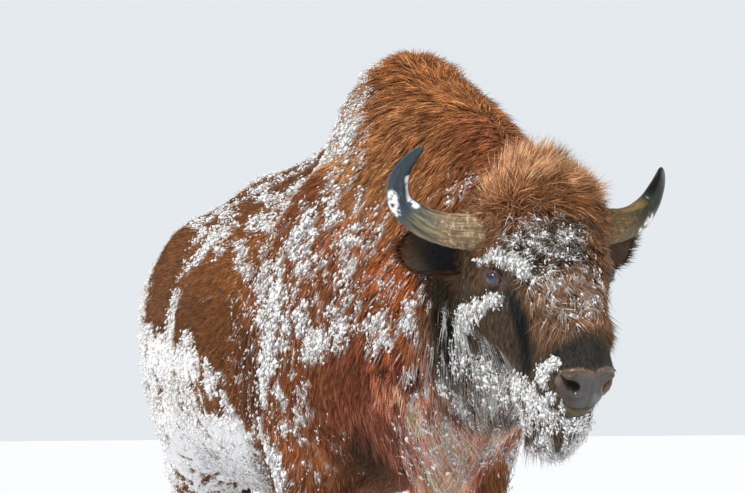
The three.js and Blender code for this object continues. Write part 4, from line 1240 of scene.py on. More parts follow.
PIECES = (
    # name, spacing between tufts, segments of a tuft
    ("coat_rump", 0.0064, 1),
    ("coat_flank_right", 0.0055, 1),
    ("coat_flank_left", 0.0062, 1),
    ("coat_belly", 0.0075, 1),
    ("coat_shoulder_right", 0.0046, 1),
    ("coat_shoulder_left", 0.0056, 1),
    ("coat_hump", 0.0050, 2),
    ("coat_neck", 0.0047, 2),
    ("coat_chest", 0.0046, 2),
    ("coat_mop", 0.0027, 2),
    ("coat_bridge", 0.0026, 2),
    ("coat_face", 0.0027, 1),
    ("coat_beard", 0.0040, 2),
    ("coat_ears", 0.0034, 1),
    ("coat_leg_fore", 0.0064, 1),
    ("coat_leg_hind", 0.0066, 1),
    ("coat_tail", 0.0068, 2),
)


def piece_of(points):
    """The number in PIECES of the coat piece at each point."""
    r = regions(points)
    x, y, z = r["x"], r["y"], r["z"]
    number = {name: i for i, (name, _, _) in enumerate(PIECES)}
    rules = (
        (r["ear"] > 0.5, "coat_ears"),
        (r["beard"] > 0.5, "coat_beard"),
        (r["crown"] > 0.5, "coat_mop"),
        (r["bridge"] > 0.4, "coat_bridge"),
        (r["head"] > 0.5, "coat_face"),
        (r["tail"] > 0.5, "coat_tail"),
        ((z < 0.72) & (x > -0.45), "coat_leg_fore"),
        ((z < 0.80) & (x < -0.80), "coat_leg_hind"),
        (r["chest"] > 0.5, "coat_chest"),
        (r["neck"] > 0.5, "coat_neck"),
        (r["hump"] > 0.4, "coat_hump"),
        ((r["front"] > 0.5) & (y < 0), "coat_shoulder_right"),
        (r["front"] > 0.5, "coat_shoulder_left"),
        (x < -0.98, "coat_rump"),
        (z < 0.80, "coat_belly"),
        (y < 0, "coat_flank_right"),
    )
    out = np.full(len(points), number["coat_flank_left"])
    done = np.zeros(len(points), bool)
    for mask, name in rules:
        out[mask & ~done] = number[name]
        done |= mask
    return out


class Patch:
    """Part of the skin, unwrapped, on which roots are sown."""

    def __init__(self, skin, chosen, name):
        tool = bmesh.new()
        tool.from_mesh(skin.data)
        bmesh.ops.delete(tool, geom=[f for f, keep in zip(tool.faces, chosen) if not keep], context="FACES")
        mesh = bpy.data.meshes.new("patch_" + name)
        tool.to_mesh(mesh)
        tool.free()
        obj = only(new_object("patch_" + name, mesh))
        edit(bpy.ops.uv.smart_project, angle_limit=math.radians(66), island_margin=0.004)
        mesh = obj.data
        mesh.calc_loop_triangles()
        corners = np.empty(len(mesh.loop_triangles) * 3, np.int32)
        mesh.loop_triangles.foreach_get("vertices", corners)
        loops = np.empty_like(corners)
        mesh.loop_triangles.foreach_get("loops", loops)
        uv = np.empty(len(mesh.loops) * 2, np.float32)
        mesh.uv_layers.active.data.foreach_get("uv", uv)
        self.points = get_vectors(mesh.vertices)[corners.reshape(-1, 3)]
        self.uv = uv.reshape(-1, 2)[loops].reshape(-1, 3, 2)
        cross = np.cross(self.points[:, 1] - self.points[:, 0], self.points[:, 2] - self.points[:, 0])
        self.area = np.linalg.norm(cross, axis=1) / 2
        normals = vertex_normals(mesh)
        self.normals = normals[corners.reshape(-1, 3)]
        self.middles = self.points.mean(axis=1)
        bpy.data.objects.remove(obj)
        bpy.data.meshes.remove(mesh)

    def sow(self, count, draw, weight=None):
        """Roots spread evenly over the patch, or thicker where weight is high: points, normals, uv."""
        share = np.cumsum(self.area if weight is None else self.area * weight)
        if share[-1] <= 0 or count < 1:
            return (np.zeros((0, 3)), np.zeros((0, 3)), np.zeros((0, 2)))
        at = (np.arange(count) + draw.random(count)) / count * share[-1]
        face = np.minimum(np.searchsorted(share, at), len(share) - 1)
        u, v = draw.random(count), draw.random(count)
        flip = u + v > 1
        u, v = np.where(flip, 1 - u, u), np.where(flip, 1 - v, v)
        w = np.stack([1 - u - v, u, v], axis=1)[:, :, None]
        return (
            (self.points[face] * w).sum(1),
            unit((self.normals[face] * w).sum(1)),
            (self.uv[face] * w).sum(1),
        )


SECTION = np.array([[0.5, 0.0], [-0.5, 0.0], [0.0, 0.42]])  # of a tuft, across and out, in widths
PATCH = 0.0015  # half the width of a tuft's patch on the baked texture


TUFT_SINK = 0.003  # how deep the foot of a tuft is sunk into the skin


def tufts(name, roots, normals, uv, run, lift, hang, length, width, pull, tint, tone, snow, draw, segments):
    """A mesh of closed, thin, three-sided tufts that curve along the body. pull moves their ends."""
    count = len(roots)
    start = unit(run * np.cos(lift)[:, None] + normals * np.sin(lift)[:, None])
    side = unit(np.cross(start, normals) + 0.25 * draw.normal(size=(count, 3)))
    top = np.cross(side, start)
    bend = run * 0.30 - normals * (0.30 * np.sin(lift))[:, None] + np.array([0, 0, -1.0]) * hang[:, None]
    levels = [k / segments for k in range(segments)]
    rings, marks, flats = [], [], []
    spots = np.array([[-1, -1], [1, -1], [0, -0.2]])
    for t in levels:
        centre = roots + (start * t + bend * t * t * 0.5) * length[:, None]
        centre = centre - normals * TUFT_SINK * (t == 0) + pull * t ** 1.5
        size = (width * (1.0 - 0.45 * t))[:, None]
        for (across, out), (spot_u, spot_v) in zip(SECTION, spots):
            rings.append(centre + side * across * size + top * out * size)
            marks.append(np.full(count, t))
            flats.append(uv + np.array([spot_u * (1 - t), spot_v + t]) * PATCH)
    tip = roots + (start + bend * 0.5) * length[:, None] + pull
    rings.append(tip)
    marks.append(np.ones(count))
    flats.append(uv + np.array([0, 1]) * PATCH)
    corners = 3 * segments + 1
    points = np.stack(rings, 1).reshape(-1, 3)
    faces = [(0, 2, 1)]
    for k in range(segments - 1):
        for i in range(3):
            j = (i + 1) % 3
            low, high = 3 * k, 3 * k + 3
            faces += [(low + i, low + j, high + j), (low + i, high + j, high + i)]
    last = 3 * (segments - 1)
    faces += [(last + i, last + (i + 1) % 3, corners - 1) for i in range(3)]
    triangles = (np.arange(count)[:, None, None] * corners + np.array(faces)[None]).reshape(-1, 3)
    tone, snow, tint = (np.repeat(value, corners, axis=0) for value in (tone, snow, tint))
    # tone: painted shade in the gaps between clumps, with random darkening.
    values = {"along": np.stack(marks, 1).ravel(), "tone": tone, "frost": snow}
    return mesh_of(name, points, triangles, values, {"marking": tint}, np.stack(flats, 1).reshape(-1, 2))


def make_coat(skin, names):
    """The coat pieces with these names."""
    owner = piece_of(face_middles(skin.data))
    material = bpy.data.materials.get("bison_coat") or coat_material("bison_coat")
    made = []
    for number, (name, spacing, segments) in enumerate(PIECES):
        if name not in names:
            continue
        draw = np.random.default_rng(100 + number)
        patch = Patch(skin, owner == number, name)
        r = regions(patch.middles)
        keep = (1 - r["pad"]) * (1 - 0.55 * belly_cake(patch.middles, r))
        count = int((patch.area * keep).sum() / spacing ** 2 * sizes().tufts)
        roots, normals, uv = patch.sow(count, draw, keep)
        lie = coat_lie(roots, normals)
        centre, chance, border = clumps(roots, lie["clump"], 5)
        waver = 0.5 * swirl(roots, 0.16, 41) + 0.35 * draw.normal(size=roots.shape)
        run = lie["run"] + waver * lie["curl"][:, None]
        run = unit(flattened(run, normals))
        turn = ((np.mod(chance * 13.7, 1) - 0.5) * 2.4 * lie["curl"])[:, None]
        run = run * np.cos(turn) + np.cross(normals, run) * np.sin(turn)
        lift = lie["lift"] * (0.75 + 0.5 * draw.random(count)) * (0.80 + 0.45 * chance)
        length = lie["length"] * (0.72 + 0.40 * draw.random(count))
        length = length * (0.82 + 0.36 * np.mod(chance * 7.3, 1))
        width = lie["width"] * (0.8 + 0.4 * draw.random(count))
        pull = flattened(centre - roots, normals) * np.clip(lie["curl"] * 2.0, 0.25, 0.7)[:, None]
        # Painted shade at the borders of clumps, where the gaps between them lie.
        shade = 0.75 * border * np.clip(lie["curl"] * 3, 0.25, 1)
        tone = np.clip(shade + 0.45 * draw.random(count) ** 3, 0, 1)
        variety = 0.36 * draw.normal(size=count) + 0.45 * (np.mod(chance * 5.1, 1) - 0.5)
        tint = marking(roots) * np.exp(variety)[:, None]
        snow = frost(outer_part(roots, normals, run, lift, lie["hang"], length))
        held = rise(-0.1, 0.1, snow - 0.25 - 0.45 * draw.random(count)) * (0.35 + 0.65 * snow)
        mesh = tufts(
            name, roots, normals, uv, run, lift, lie["hang"], length, width, pull,
            tint, tone, held, draw, segments,
        )
        made.append(finish(new_object(name, mesh), material, "coat"))
    return made


# ---------------------------------------------------------------- snow

SNOW_PIECES = (
    # name, coat pieces that it lies on, spacing where it lies thickest
    ("snow_flanks", (
        "coat_rump", "coat_flank_right", "coat_flank_left", "coat_belly", "coat_leg_hind",
    ), 0.0038),
    ("snow_mane", (
        "coat_shoulder_right", "coat_shoulder_left", "coat_hump", "coat_neck", "coat_chest",
        "coat_leg_fore",
    ), 0.0036),
    ("snow_head", ("coat_mop", "coat_bridge", "coat_face", "coat_beard", "coat_ears"), 0.0024),
)
GRAIN = np.array([[1.2, 0, -0.3], [-1.0, 0.9, -0.4], [-0.9, -1.0, -0.2], [-0.1, 0.1, 1.0]])
GRAIN_FACES = np.array([[0, 1, 3], [1, 2, 3], [2, 0, 3], [0, 2, 1]])


def snow_material():
    shader = Shader("bison_snow")
    cold = tuple(linear(0xEEEFF0))
    colour = shader.mix(shader.noise(160.0), tuple(colours().snow), cold)
    thin = shader.step(0.9, 0.4, shader.number("frost")) * 0.55
    colour = shader.mix(thin, colour, tuple(linear(0xC8A488)))
    return shader.finish(
        Base_Color=colour, Roughness=0.55, Specular_IOR_Level=0.35,
        Normal=shader.bump(shader.noise(900.0), 0.4, 0.001),
    )


def grains(name, places, axes, radii, uv, frosted, draw):
    """A mesh of small irregular lumps. axes are three directions for each, radii are along them."""
    count = len(places)
    shape = GRAIN[None] * (0.75 + 0.5 * draw.random((count, 4, 1))) + 0.12 * draw.normal(size=(count, 4, 3))
    points = places[:, None] + np.einsum("cik,ck,ckj->cij", shape, radii, axes)
    triangles = (np.arange(count)[:, None, None] * 4 + GRAIN_FACES[None]).reshape(-1, 3)
    spots = np.array([[1, 0], [-0.5, 0.8], [-0.5, -0.8], [0.1, 0.1]]) * PATCH
    values = {"frost": np.repeat(frosted, 4)}
    return mesh_of(name, points.reshape(-1, 3), triangles, values, uvs=(uv[:, None] + spots).reshape(-1, 2))


def make_crust(skin):
    """Caked snow on belly and thighs: lumpy closed sheets among the ends of the tufts."""

    def cut(least, reach):
        """Leaves only the faces in or near the caked snow."""
        middles = np.array([face.calc_center_median() for face in tool.faces])
        ways = [way for way in itertools.product((-1, 0, 1), repeat=3) if np.abs(way).sum() < 2]
        near = [middles + reach * np.array(way) for way in ways] if reach else [middles]
        firm = np.maximum.reduce([belly_cake(place, regions(place)) for place in near])
        bare = [face for face, keep in zip(tool.faces, firm > least) if not keep]
        bmesh.ops.delete(tool, geom=bare, context="FACES")

    tool = bmesh.new()
    tool.from_mesh(skin.data)
    cut(0.3, 0.008)
    bmesh.ops.subdivide_edges(tool, edges=tool.edges[:], cuts=1, use_grid_fill=True)
    cut(0.5, 0)
    mesh = bpy.data.meshes.new("snow_belly")
    tool.to_mesh(mesh)
    tool.free()
    points, normals, edges = get_vectors(mesh.vertices), vertex_normals(mesh), edge_pairs(mesh)
    inside = np.ones(len(points))
    inside[edges[np.bincount(loop_edges(mesh), minlength=len(edges)) == 1]] = 0
    inside = relax(np.repeat(inside[:, None], 3, axis=1), edges, np.full(len(points), 0.5), 2)[:, 0]
    lumps = noise(points, 0.022, 91) * 0.6 + noise(points, 0.010, 92) * 0.4
    height = coat_depth(points, normals) * (0.35 + 0.75 * inside) + 0.0022 * lumps * inside
    set_points(mesh, relax(points + normals * height[:, None], edges, np.full(len(points), 0.4), 1))
    crust = only(new_object("snow_belly", mesh))
    thin = crust.modifiers.new("fewer", "DECIMATE")
    thin.ratio = 0.6
    solid = crust.modifiers.new("thickness", "SOLIDIFY")
    solid.thickness, solid.offset = 0.0045, -1
    for modifier in (thin, solid):
        bpy.ops.object.modifier_apply(modifier=modifier.name)
    edit(bpy.ops.uv.smart_project, angle_limit=math.radians(66), island_margin=0.002)
    crust.data.uv_layers.active.name = "OFBake"
    crust.data.shade_smooth()
    paint(crust.data, {"frost": np.ones(len(crust.data.vertices))})
    finish(crust, bpy.data.materials["bison_snow"], "mane")


def make_snow(skin):
    """Grains of snow caught among the ends of the tufts, thickest where frost() is high."""
    owner = piece_of(face_middles(skin.data))
    numbers = {name: i for i, (name, _, _) in enumerate(PIECES)}
    material = snow_material()
    for k, (name, below, spacing) in enumerate(SNOW_PIECES):
        draw = np.random.default_rng(500 + k)
        chosen = np.isin(owner, [numbers[piece] for piece in below])
        patch = Patch(skin, chosen, name)
        flat = unit(patch.normals.mean(axis=1))
        lie = coat_lie(patch.middles, flat)
        outer = outer_part(patch.middles, flat, unit(lie["run"]), lie["lift"], lie["hang"], lie["length"])
        weight = frost(outer)
        m = patch.middles * [1, 1, 0.6]
        r = regions(patch.middles)
        weight = weight * (1 - 0.8 * belly_cake(patch.middles, r))
        weight = weight * (weight > 0.05) * (0.35 + 0.65 * rise(-0.3, 0.3, noise(m, 0.011, 81)))
        count = min(int((patch.area * weight).sum() / spacing ** 2), 48000)
        roots, normals, uv = patch.sow(count, draw, weight)
        lie = coat_lie(roots, normals)
        run = unit(lie["run"])
        up = np.sin(lie["lift"])[:, None] * normals
        out = lie["length"] * (0.45 + 0.6 * draw.random(count))
        drop = np.array([0, 0, -0.5]) * (lie["hang"] * out)[:, None]
        places = roots + (run * np.cos(lie["lift"])[:, None] + up) * out[:, None] * 0.9 + drop
        places = places + 0.004 * draw.normal(size=places.shape) + normals * 0.002
        ends = outer_part(roots, normals, run, lie["lift"], lie["hang"], lie["length"])
        caked = face_cake(ends, regions(ends))
        frosted = np.maximum(frost(ends), 0.35)
        size = sizes().snow_grain * np.exp(0.50 * np.clip(draw.normal(size=count), -2, 2))
        size = size * (0.40 + 0.55 * frosted)
        size = size * (1 - lie["regions"]["head"] * (0.34 - 0.16 * caked))
        along = unit(run + 0.35 * draw.normal(size=run.shape))
        side = unit(np.cross(normals, along))
        axes = np.stack([along, side, np.cross(along, side)], axis=1)
        radii = size[:, None] * np.array([1.8, 1.0, 0.9]) * (0.8 + 0.4 * draw.random((count, 3)))
        finish(new_object(name, grains(name, places, axes, radii, uv, frosted, draw)), material, "mane")


# ---------------------------------------------------------------- horns

HORN_BASE = 0.043  # radius
HORN_PATH = np.array([
    [-104, 108, 34], [-116, 168, 33], [-135, 216, 20], [-165, 266, 13],
    [-203, 308, 25], [-221, 322, 66], [-219, 315, 118], [-204, 296, 172],
]) / 1000
HORN_RISE = {RIGHT: 0.038, LEFT: -0.032}
# Multiplied into each horn's colour: the far, left horn is darkened as painted shade and tinted olive.
HORN_SHADE = {RIGHT: (1.0, 1.0, 1.0), LEFT: (0.62, 0.52, 0.28)}
HORN_TIP = {RIGHT: 0.44, LEFT: 0.54}  # how far along a horn its dark tip begins
HORN_TAPER = {RIGHT: 0.08, LEFT: 0.42}
HORN_RINGS = 150
HORN_AROUND = 40


def smooth_path(points, count):
    """count places evenly spaced on a smooth curve through the points."""
    padded = np.vstack([2 * points[0] - points[1], points, 2 * points[-1] - points[-2]])
    fine = []
    for i in range(1, len(padded) - 2):
        p0, p1, p2, p3 = padded[i - 1:i + 3]
        t = np.linspace(0, 1, 60, endpoint=False)[:, None]
        fine.append(0.5 * (2 * p1 + (p2 - p0) * t + (2 * p0 - 5 * p1 + 4 * p2 - p3) * t ** 2
                           + (3 * p1 - p0 - 3 * p2 + p3) * t ** 3))
    fine = np.vstack(fine + [padded[-2:-1]])
    run = np.concatenate([[0], np.cumsum(np.linalg.norm(np.diff(fine, axis=0), axis=1))])
    at = np.linspace(0, run[-1], count)
    return np.stack([np.interp(at, run, fine[:, k]) for k in range(3)], axis=1)


def make_horn(name, side):
    """A horn with fibres along it, ridges round its base and a smooth tip."""
    share = (np.arange(len(HORN_PATH)) / (len(HORN_PATH) - 1)) ** 2
    knots = from_head(HORN_PATH * [1, side, 1]) + np.outer(share, [0, 0, HORN_RISE[side]])
    centres = smooth_path(knots, HORN_RINGS)
    along = unit(np.gradient(centres, axis=0))
    across = unit(np.cross(along, FORWARD))
    above = np.cross(across, along)
    t = np.linspace(0, 1, HORN_RINGS)[:, None]
    turn = np.linspace(0, 2 * math.pi, HORN_AROUND, endpoint=False)[None]
    grain = np.stack([np.cos(turn) + 0 * t, np.sin(turn) + 0 * t, 1.6 * t + 0 * turn + side], axis=-1)
    grain = grain.reshape(-1, 3)
    fibre = noise(grain * [1, 1, 0.35], 0.16, 61).reshape(HORN_RINGS, -1) * 0.6
    fibre = fibre + noise(grain * [1, 1, 0.3], 0.07, 62).reshape(HORN_RINGS, -1) * 0.4
    wave = 0.10 * noise(grain, 0.7, 63).reshape(HORN_RINGS, -1)
    ridges = np.sin(2 * math.pi * (t * 21 + wave + 0.4 * np.sin(9 * t))) * rise(0.52, 0.02, t)
    ridges = ridges + 0.5 * np.sin(2 * math.pi * (t * 47 + wave)) * rise(0.4, 0.0, t)
    radius = HORN_BASE * (1 - t) ** 0.58 * (1 - HORN_TAPER[side] * rise(0.45, 0.95, t)) + 0.003
    radius = radius + sizes().horn_ridge * ridges + 0.0011 * fibre * rise(0.75, 0.15, t)
    points = centres[:, None] + radius[..., None] * (
        np.cos(turn)[..., None] * across[:, None] + np.sin(turn)[..., None] * above[:, None]
    )
    points = np.vstack([points.reshape(-1, 3), centres[:1], centres[-1:] + along[-1:] * 0.0018])
    rings, around = np.meshgrid(np.arange(HORN_RINGS - 1), np.arange(HORN_AROUND), indexing="ij")
    after = (around + 1) % HORN_AROUND
    low, high = rings * HORN_AROUND, (rings + 1) * HORN_AROUND
    sheet = [
        np.stack([low + around, low + after, high + after], -1),
        np.stack([low + around, high + after, high + around], -1),
    ]
    j = np.arange(HORN_AROUND)
    k = (j + 1) % HORN_AROUND
    first, last = HORN_RINGS * HORN_AROUND, HORN_RINGS * HORN_AROUND + 1
    top = (HORN_RINGS - 1) * HORN_AROUND
    caps = [np.stack([k, j, j * 0 + first], -1), np.stack([top + j, top + k, j * 0 + last], -1)]
    triangles = np.vstack([part.reshape(-1, 3) for part in sheet + caps])
    a = np.repeat(t.ravel(), HORN_AROUND)
    values = {"along": np.concatenate([a, [0, 1]]), "frost": horn_snow(points, side)}
    mesh = mesh_of(name, points, triangles, values)
    layer = mesh.attributes.new("grain", "FLOAT_VECTOR", "POINT")
    layer.data.foreach_set("vector", np.vstack([grain, grain[:1], grain[-1:]]).astype(np.float32).ravel())
    obj = new_object(name, mesh)
    only(obj)
    edit(bpy.ops.mesh.normals_make_consistent, inside=False)
    return obj


# Snow stuck to the horns: places in the head's frame, and half widths.
RIGHT_BEND = (
    ((-0.210, -0.342, 0.060), 0.015), ((-0.203, -0.340, 0.042), 0.018), ((-0.186, -0.330, 0.026), 0.012),
)
RIGHT_STREAK = (
    ((-0.219, -0.311, 0.110), 0.007), ((-0.212, -0.302, 0.084), 0.008),
    ((-0.200, -0.296, 0.062), 0.009), ((-0.188, -0.286, 0.052), 0.009),
)
LEFT_STRIP = (
    ((-0.118, 0.262, 0.015), 0.008), ((-0.131, 0.280, 0.014), 0.012), ((-0.150, 0.297, 0.020), 0.011),
)


def horn_snow(points, side):
    """Snow stuck to the bend of a horn."""
    place = to_head(points)
    lumps = noise(points, 0.012, 71) * 0.6 + noise(points, 0.005, 72) * 0.5
    if side == LEFT:
        return trail(place, LEFT_STRIP, 0.3) * rise(-0.5, 0.0, lumps)
    bend = trail(place, RIGHT_BEND, 0.3) * rise(-0.35, -0.05, lumps)
    return np.maximum(bend, trail(place, RIGHT_STREAK, 0.4) * rise(-0.60, -0.25, lumps))


def horn_material(name, side):
    """Horn: pale fibres and fine rings at the base, olive in the middle and slate at the tip."""
    shader = Shader(name)
    c = colours()
    along = shader.number("along")
    grain = shader.vector("grain")
    fibres = shader.noise(9.0, 5.0, 0.62, shader.stretch(grain, (1.0, 1.0, 0.30)))
    blotch = shader.noise(2.6, 4.0, 0.6, grain)
    place = along + (blotch - 0.5) * 0.34
    mottle = shader.noise(6.5, 5.0, 0.7, grain)
    base = shader.mix(shader.step(0.35, 0.72, fibres), tuple(c.horn_base), tuple(linear(0x4E3A24)))
    base = shader.mix(shader.step(0.48, 0.62, mottle) * 0.8, base, tuple(linear(0xC09A78)))
    base = shader.mix(shader.step(0.55, 0.75, blotch) * 0.6, base, tuple(linear(0x8A5B3C)))
    rings = shader.noise(1.3, 3.0, 0.6, shader.stretch(grain, (1.6, 1.6, 30.0)))
    base = shader.mix(shader.step(0.50, 0.66, rings) * 0.65, base, tuple(linear(0x5A4630)))
    base = shader.mix(shader.step(0.44, 0.34, rings) * 0.5, base, tuple(linear(0xDCC09A)))
    middle = shader.mix(shader.step(0.42, 0.58, mottle), tuple(linear(0x7E7550)), tuple(linear(0x3E423A)))
    middle = shader.mix(shader.step(0.54, 0.66, blotch) * 0.8, middle, tuple(linear(0xA88A6C)))
    middle = shader.mix(shader.step(0.45, 0.75, fibres) * 0.4, middle, tuple(linear(0x8C7A5C)))
    middle = shader.mix(shader.step(0.52, 0.42, blotch) * 0.85, middle, tuple(linear(0x2C3436)))
    tip = shader.mix(shader.step(0.35, 0.75, fibres), tuple(c.horn_tip), tuple(linear(0x141D25)))
    colour = shader.mix(shader.step(0.22, 0.40, place), base, middle)
    tip = shader.mix(shader.step(0.54, 0.72, mottle) * 0.55, tip, tuple(linear(0x6F8088)))
    colour = shader.mix(shader.step(HORN_TIP[side], HORN_TIP[side] + 0.10, place), colour, tip)
    # Painted shade: the far horn darkened.
    colour = shader.mix(1.0, colour, HORN_SHADE[side], "MULTIPLY")
    colour = shader.mix(shader.number("frost"), colour, tuple(c.snow))
    rough = 0.52 - shader.step(0.40, 0.60, along) * 0.20 + fibres * 0.10
    height = fibres * (1 - shader.step(0.45, 0.75, along) * 0.8)
    height = height + rings * shader.step(0.35, 0.15, along) * 0.8
    return shader.finish(Base_Color=colour, Roughness=rough, Normal=shader.bump(height, 0.5, 0.0012))


# ---------------------------------------------------------------- eyes and hooves


def make_eye(name, side):
    """An eyeball with its cornea, iris and long level pupil."""
    radius = sizes().eye_radius
    centre, out, corner, _ = eye_axes(side)
    bpy.ops.object.select_all(action="DESELECT")
    bpy.ops.mesh.primitive_uv_sphere_add(segments=64, ring_count=40, radius=radius)
    eye = bpy.context.object
    eye.name = name
    points = get_vectors(eye.data.vertices)
    height = points[:, 2] / radius
    points = points * (1 + 0.055 * rise(0.70, 0.92, height))[:, None]
    spread = np.hypot(points[:, 0], points[:, 1]) / radius
    oval = np.hypot(points[:, 0] / (0.42 * radius), points[:, 1] / (0.27 * radius))
    pupil = rise(1.06, 0.90, oval) * (height > 0)
    axes = np.stack([corner, np.cross(out, corner), out])
    set_points(eye.data, points @ axes + centre)
    eye.data.shade_smooth()
    iris = rise(0.76, 0.70, spread) * (height > 0)
    paint(eye.data, {"iris": iris, "pupil": pupil, "spread": spread})
    return eye


def eye_material():
    shader = Shader("bison_eye")
    c = colours()
    iris, pupil, spread = (shader.number(name) for name in ("iris", "pupil", "spread"))
    mottle = shader.noise(420.0, 4.0)
    white = shader.mix(mottle, tuple(linear(0x3A2422)), tuple(linear(0x5E4440)))
    # The iris's violet-blue is a painted reflection on a dark iris; its outer edge is darker.
    ring = shader.mix(mottle, tuple(c.eye), tuple(linear(0x3A3158)))
    ring = shader.mix(shader.step(0.52, 0.72, spread), ring, tuple(linear(0x17121C)))
    colour = shader.mix(pupil, shader.mix(iris, white, ring), tuple(linear(0x0B0A10)))
    return shader.finish(Base_Color=colour, Roughness=0.12, Coat_Weight=1.0, Coat_Roughness=0.03)


HOOF_NODES = [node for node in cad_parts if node.startswith(("hoof_", "dewclaw_"))]


def make_hoof(node):
    """A rounded copy of a claw."""
    hoof = cad_copy(node)
    hoof.name = "round_" + node
    bevel = hoof.modifiers.new("round", "BEVEL")
    bevel.width, bevel.segments = 0.0035, 3
    bevel.limit_method, bevel.angle_limit = "ANGLE", math.radians(35)
    bpy.ops.object.modifier_apply(modifier=bevel.name)
    bpy.ops.object.shade_smooth_by_angle(angle=math.radians(50))
    return hoof


def hoof_material():
    shader = Shader("bison_hoof")
    rings = shader.add("ShaderNodeMapping", sockets={"Vector": shader.place(), "Scale": (6.0, 6.0, 190.0)})
    growth = shader.add("ShaderNodeTexNoise", sockets={"Vector": rings, "Scale": 1.0, "Detail": 2.0})
    wear = shader.noise(70.0, 5.0, 0.65)
    colour = shader.mix(growth, tuple(colours().hoof), tuple(linear(0x57493C)))
    colour = shader.mix(shader.step(0.5, 0.75, wear) * 0.6, colour, tuple(linear(0x8A7A68)))
    return shader.finish(
        Base_Color=colour, Roughness=0.45 + wear * 0.25,
        Normal=shader.bump(growth * 0.8 + wear * 0.4, 0.5, 0.0015),
    )


# ---------------------------------------------------------------- stage


def make_floor():
    shader = Shader("stage_floor")
    shader.finish(Base_Color=(0.80, 0.81, 0.83, 1.0), Roughness=0.9)
    bpy.ops.mesh.primitive_plane_add(size=60, location=(0, 0, -0.0015))
    floor = bpy.context.object
    floor.name = "floor"
    floor.data.materials.append(shader.material)


def make_world():
    world = bpy.data.worlds.new("studio")
    bpy.context.scene.world = world
    world.use_nodes = True
    nodes, links = world.node_tree.nodes, world.node_tree.links
    nodes.clear()
    output = nodes.new("ShaderNodeOutputWorld")
    mix = nodes.new("ShaderNodeMixShader")
    light, seen = nodes.new("ShaderNodeBackground"), nodes.new("ShaderNodeBackground")
    light.inputs["Color"].default_value = (0.95, 0.97, 1.0, 1.0)
    light.inputs["Strength"].default_value = 0.52
    seen.inputs["Color"].default_value = (0.78, 0.82, 0.86, 1.0)
    seen.inputs["Strength"].default_value = 1.0
    path = nodes.new("ShaderNodeLightPath")
    total = nodes.new("ShaderNodeMath")
    total.operation = "ADD"
    total.use_clamp = True
    links.new(path.outputs["Is Camera Ray"], total.inputs[0])
    links.new(path.outputs["Is Transmission Ray"], total.inputs[1])
    links.new(total.outputs[0], mix.inputs[0])
    links.new(light.outputs[0], mix.inputs[1])
    links.new(seen.outputs[0], mix.inputs[2])
    links.new(mix.outputs[0], output.inputs["Surface"])


VIEW_AZIMUTH = math.radians(73)
CAMERA_BACK = 18.8657
CAMERA_SIDE = -0.0646
CAMERA_HEIGHT = 1.40
CAMERA_LENS = 382.7
CAMERA_DIP = math.radians(0.2062)


def make_camera():
    data = bpy.data.cameras.new("camera")
    data.lens = CAMERA_LENS
    data.sensor_width = 36
    data.clip_end = 200
    camera = bpy.data.objects.new("camera", data)
    bpy.context.scene.collection.objects.link(camera)
    back = Vector((math.sin(VIEW_AZIMUTH), -math.cos(VIEW_AZIMUTH), 0))
    side = Vector((math.cos(VIEW_AZIMUTH), math.sin(VIEW_AZIMUTH), 0))
    camera.location = back * CAMERA_BACK + side * CAMERA_SIDE + Vector((MIDDLE, 0, CAMERA_HEIGHT))
    look = -back * math.cos(CAMERA_DIP) - Vector((0, 0, math.sin(CAMERA_DIP)))
    camera.rotation_euler = look.to_track_quat("-Z", "Y").to_euler()
    bpy.context.scene.camera = camera


def make_lamp(name, azimuth, height, strength, soft, tint):
    data = bpy.data.lights.new(name, "SUN")
    data.energy = strength
    data.angle = math.radians(soft)
    data.color = tint
    lamp = bpy.data.objects.new(name, data)
    bpy.context.scene.collection.objects.link(lamp)
    a, h = math.radians(azimuth), math.radians(height)
    source = Vector((math.sin(a) * math.cos(h), -math.cos(a) * math.cos(h), math.sin(h)))
    lamp.rotation_euler = (-source).to_track_quat("-Z", "Y").to_euler()


# ---------------------------------------------------------------- operators


class BISON_OT_stage(bpy.types.Operator):
    """Make the floor, the light and the camera"""

    bl_idname = "bison.stage"
    bl_label = "Stage"

    def execute(self, context):
        make_floor()
        make_world()
        make_lamp("key_light", 36, 46, 2.9, 12, (1.0, 0.975, 0.94))
        make_lamp("fill_light", 120, 30, 0.6, 40, (0.92, 0.96, 1.0))
        make_camera()
        scene = context.scene
        scene.view_settings.view_transform = "Standard"
        return {"FINISHED"}


class BISON_OT_skin(bpy.types.Operator):
    """Make the one skin that stands in for the flesh"""

    bl_idname = "bison.skin"
    bl_label = "Skin"

    def execute(self, context):
        make_skin()
        return {"FINISHED"}


def skin_object():
    skin = bpy.data.objects.get("skin")
    if skin is None:
        raise RuntimeError("make the skin before its coat")
    return skin


class BISON_OT_trunk_coat(bpy.types.Operator):
    """Make the coat of rump, flanks and belly"""

    bl_idname = "bison.trunk_coat"
    bl_label = "Trunk coat"

    def execute(self, context):
        make_coat(skin_object(), ("coat_rump", "coat_flank_right", "coat_flank_left", "coat_belly"))
        return {"FINISHED"}


class BISON_OT_mane_coat(bpy.types.Operator):
    """Make the longer coat of hump, shoulders, neck and chest"""

    bl_idname = "bison.mane_coat"
    bl_label = "Mane"

    def execute(self, context):
        make_coat(
            skin_object(),
            ("coat_hump", "coat_shoulder_right", "coat_shoulder_left", "coat_neck", "coat_chest")
        )
        return {"FINISHED"}


class BISON_OT_head_coat(bpy.types.Operator):
    """Make the mop, the hair of the face, the beard and the ears' hair"""

    bl_idname = "bison.head_coat"
    bl_label = "Head coat"

    def execute(self, context):
        make_coat(skin_object(), ("coat_mop", "coat_bridge", "coat_face", "coat_beard", "coat_ears"))
        return {"FINISHED"}


class BISON_OT_leg_coat(bpy.types.Operator):
    """Make the coat of the legs and the tail"""

    bl_idname = "bison.leg_coat"
    bl_label = "Leg and tail coat"

    def execute(self, context):
        make_coat(skin_object(), ("coat_leg_fore", "coat_leg_hind", "coat_tail"))
        return {"FINISHED"}


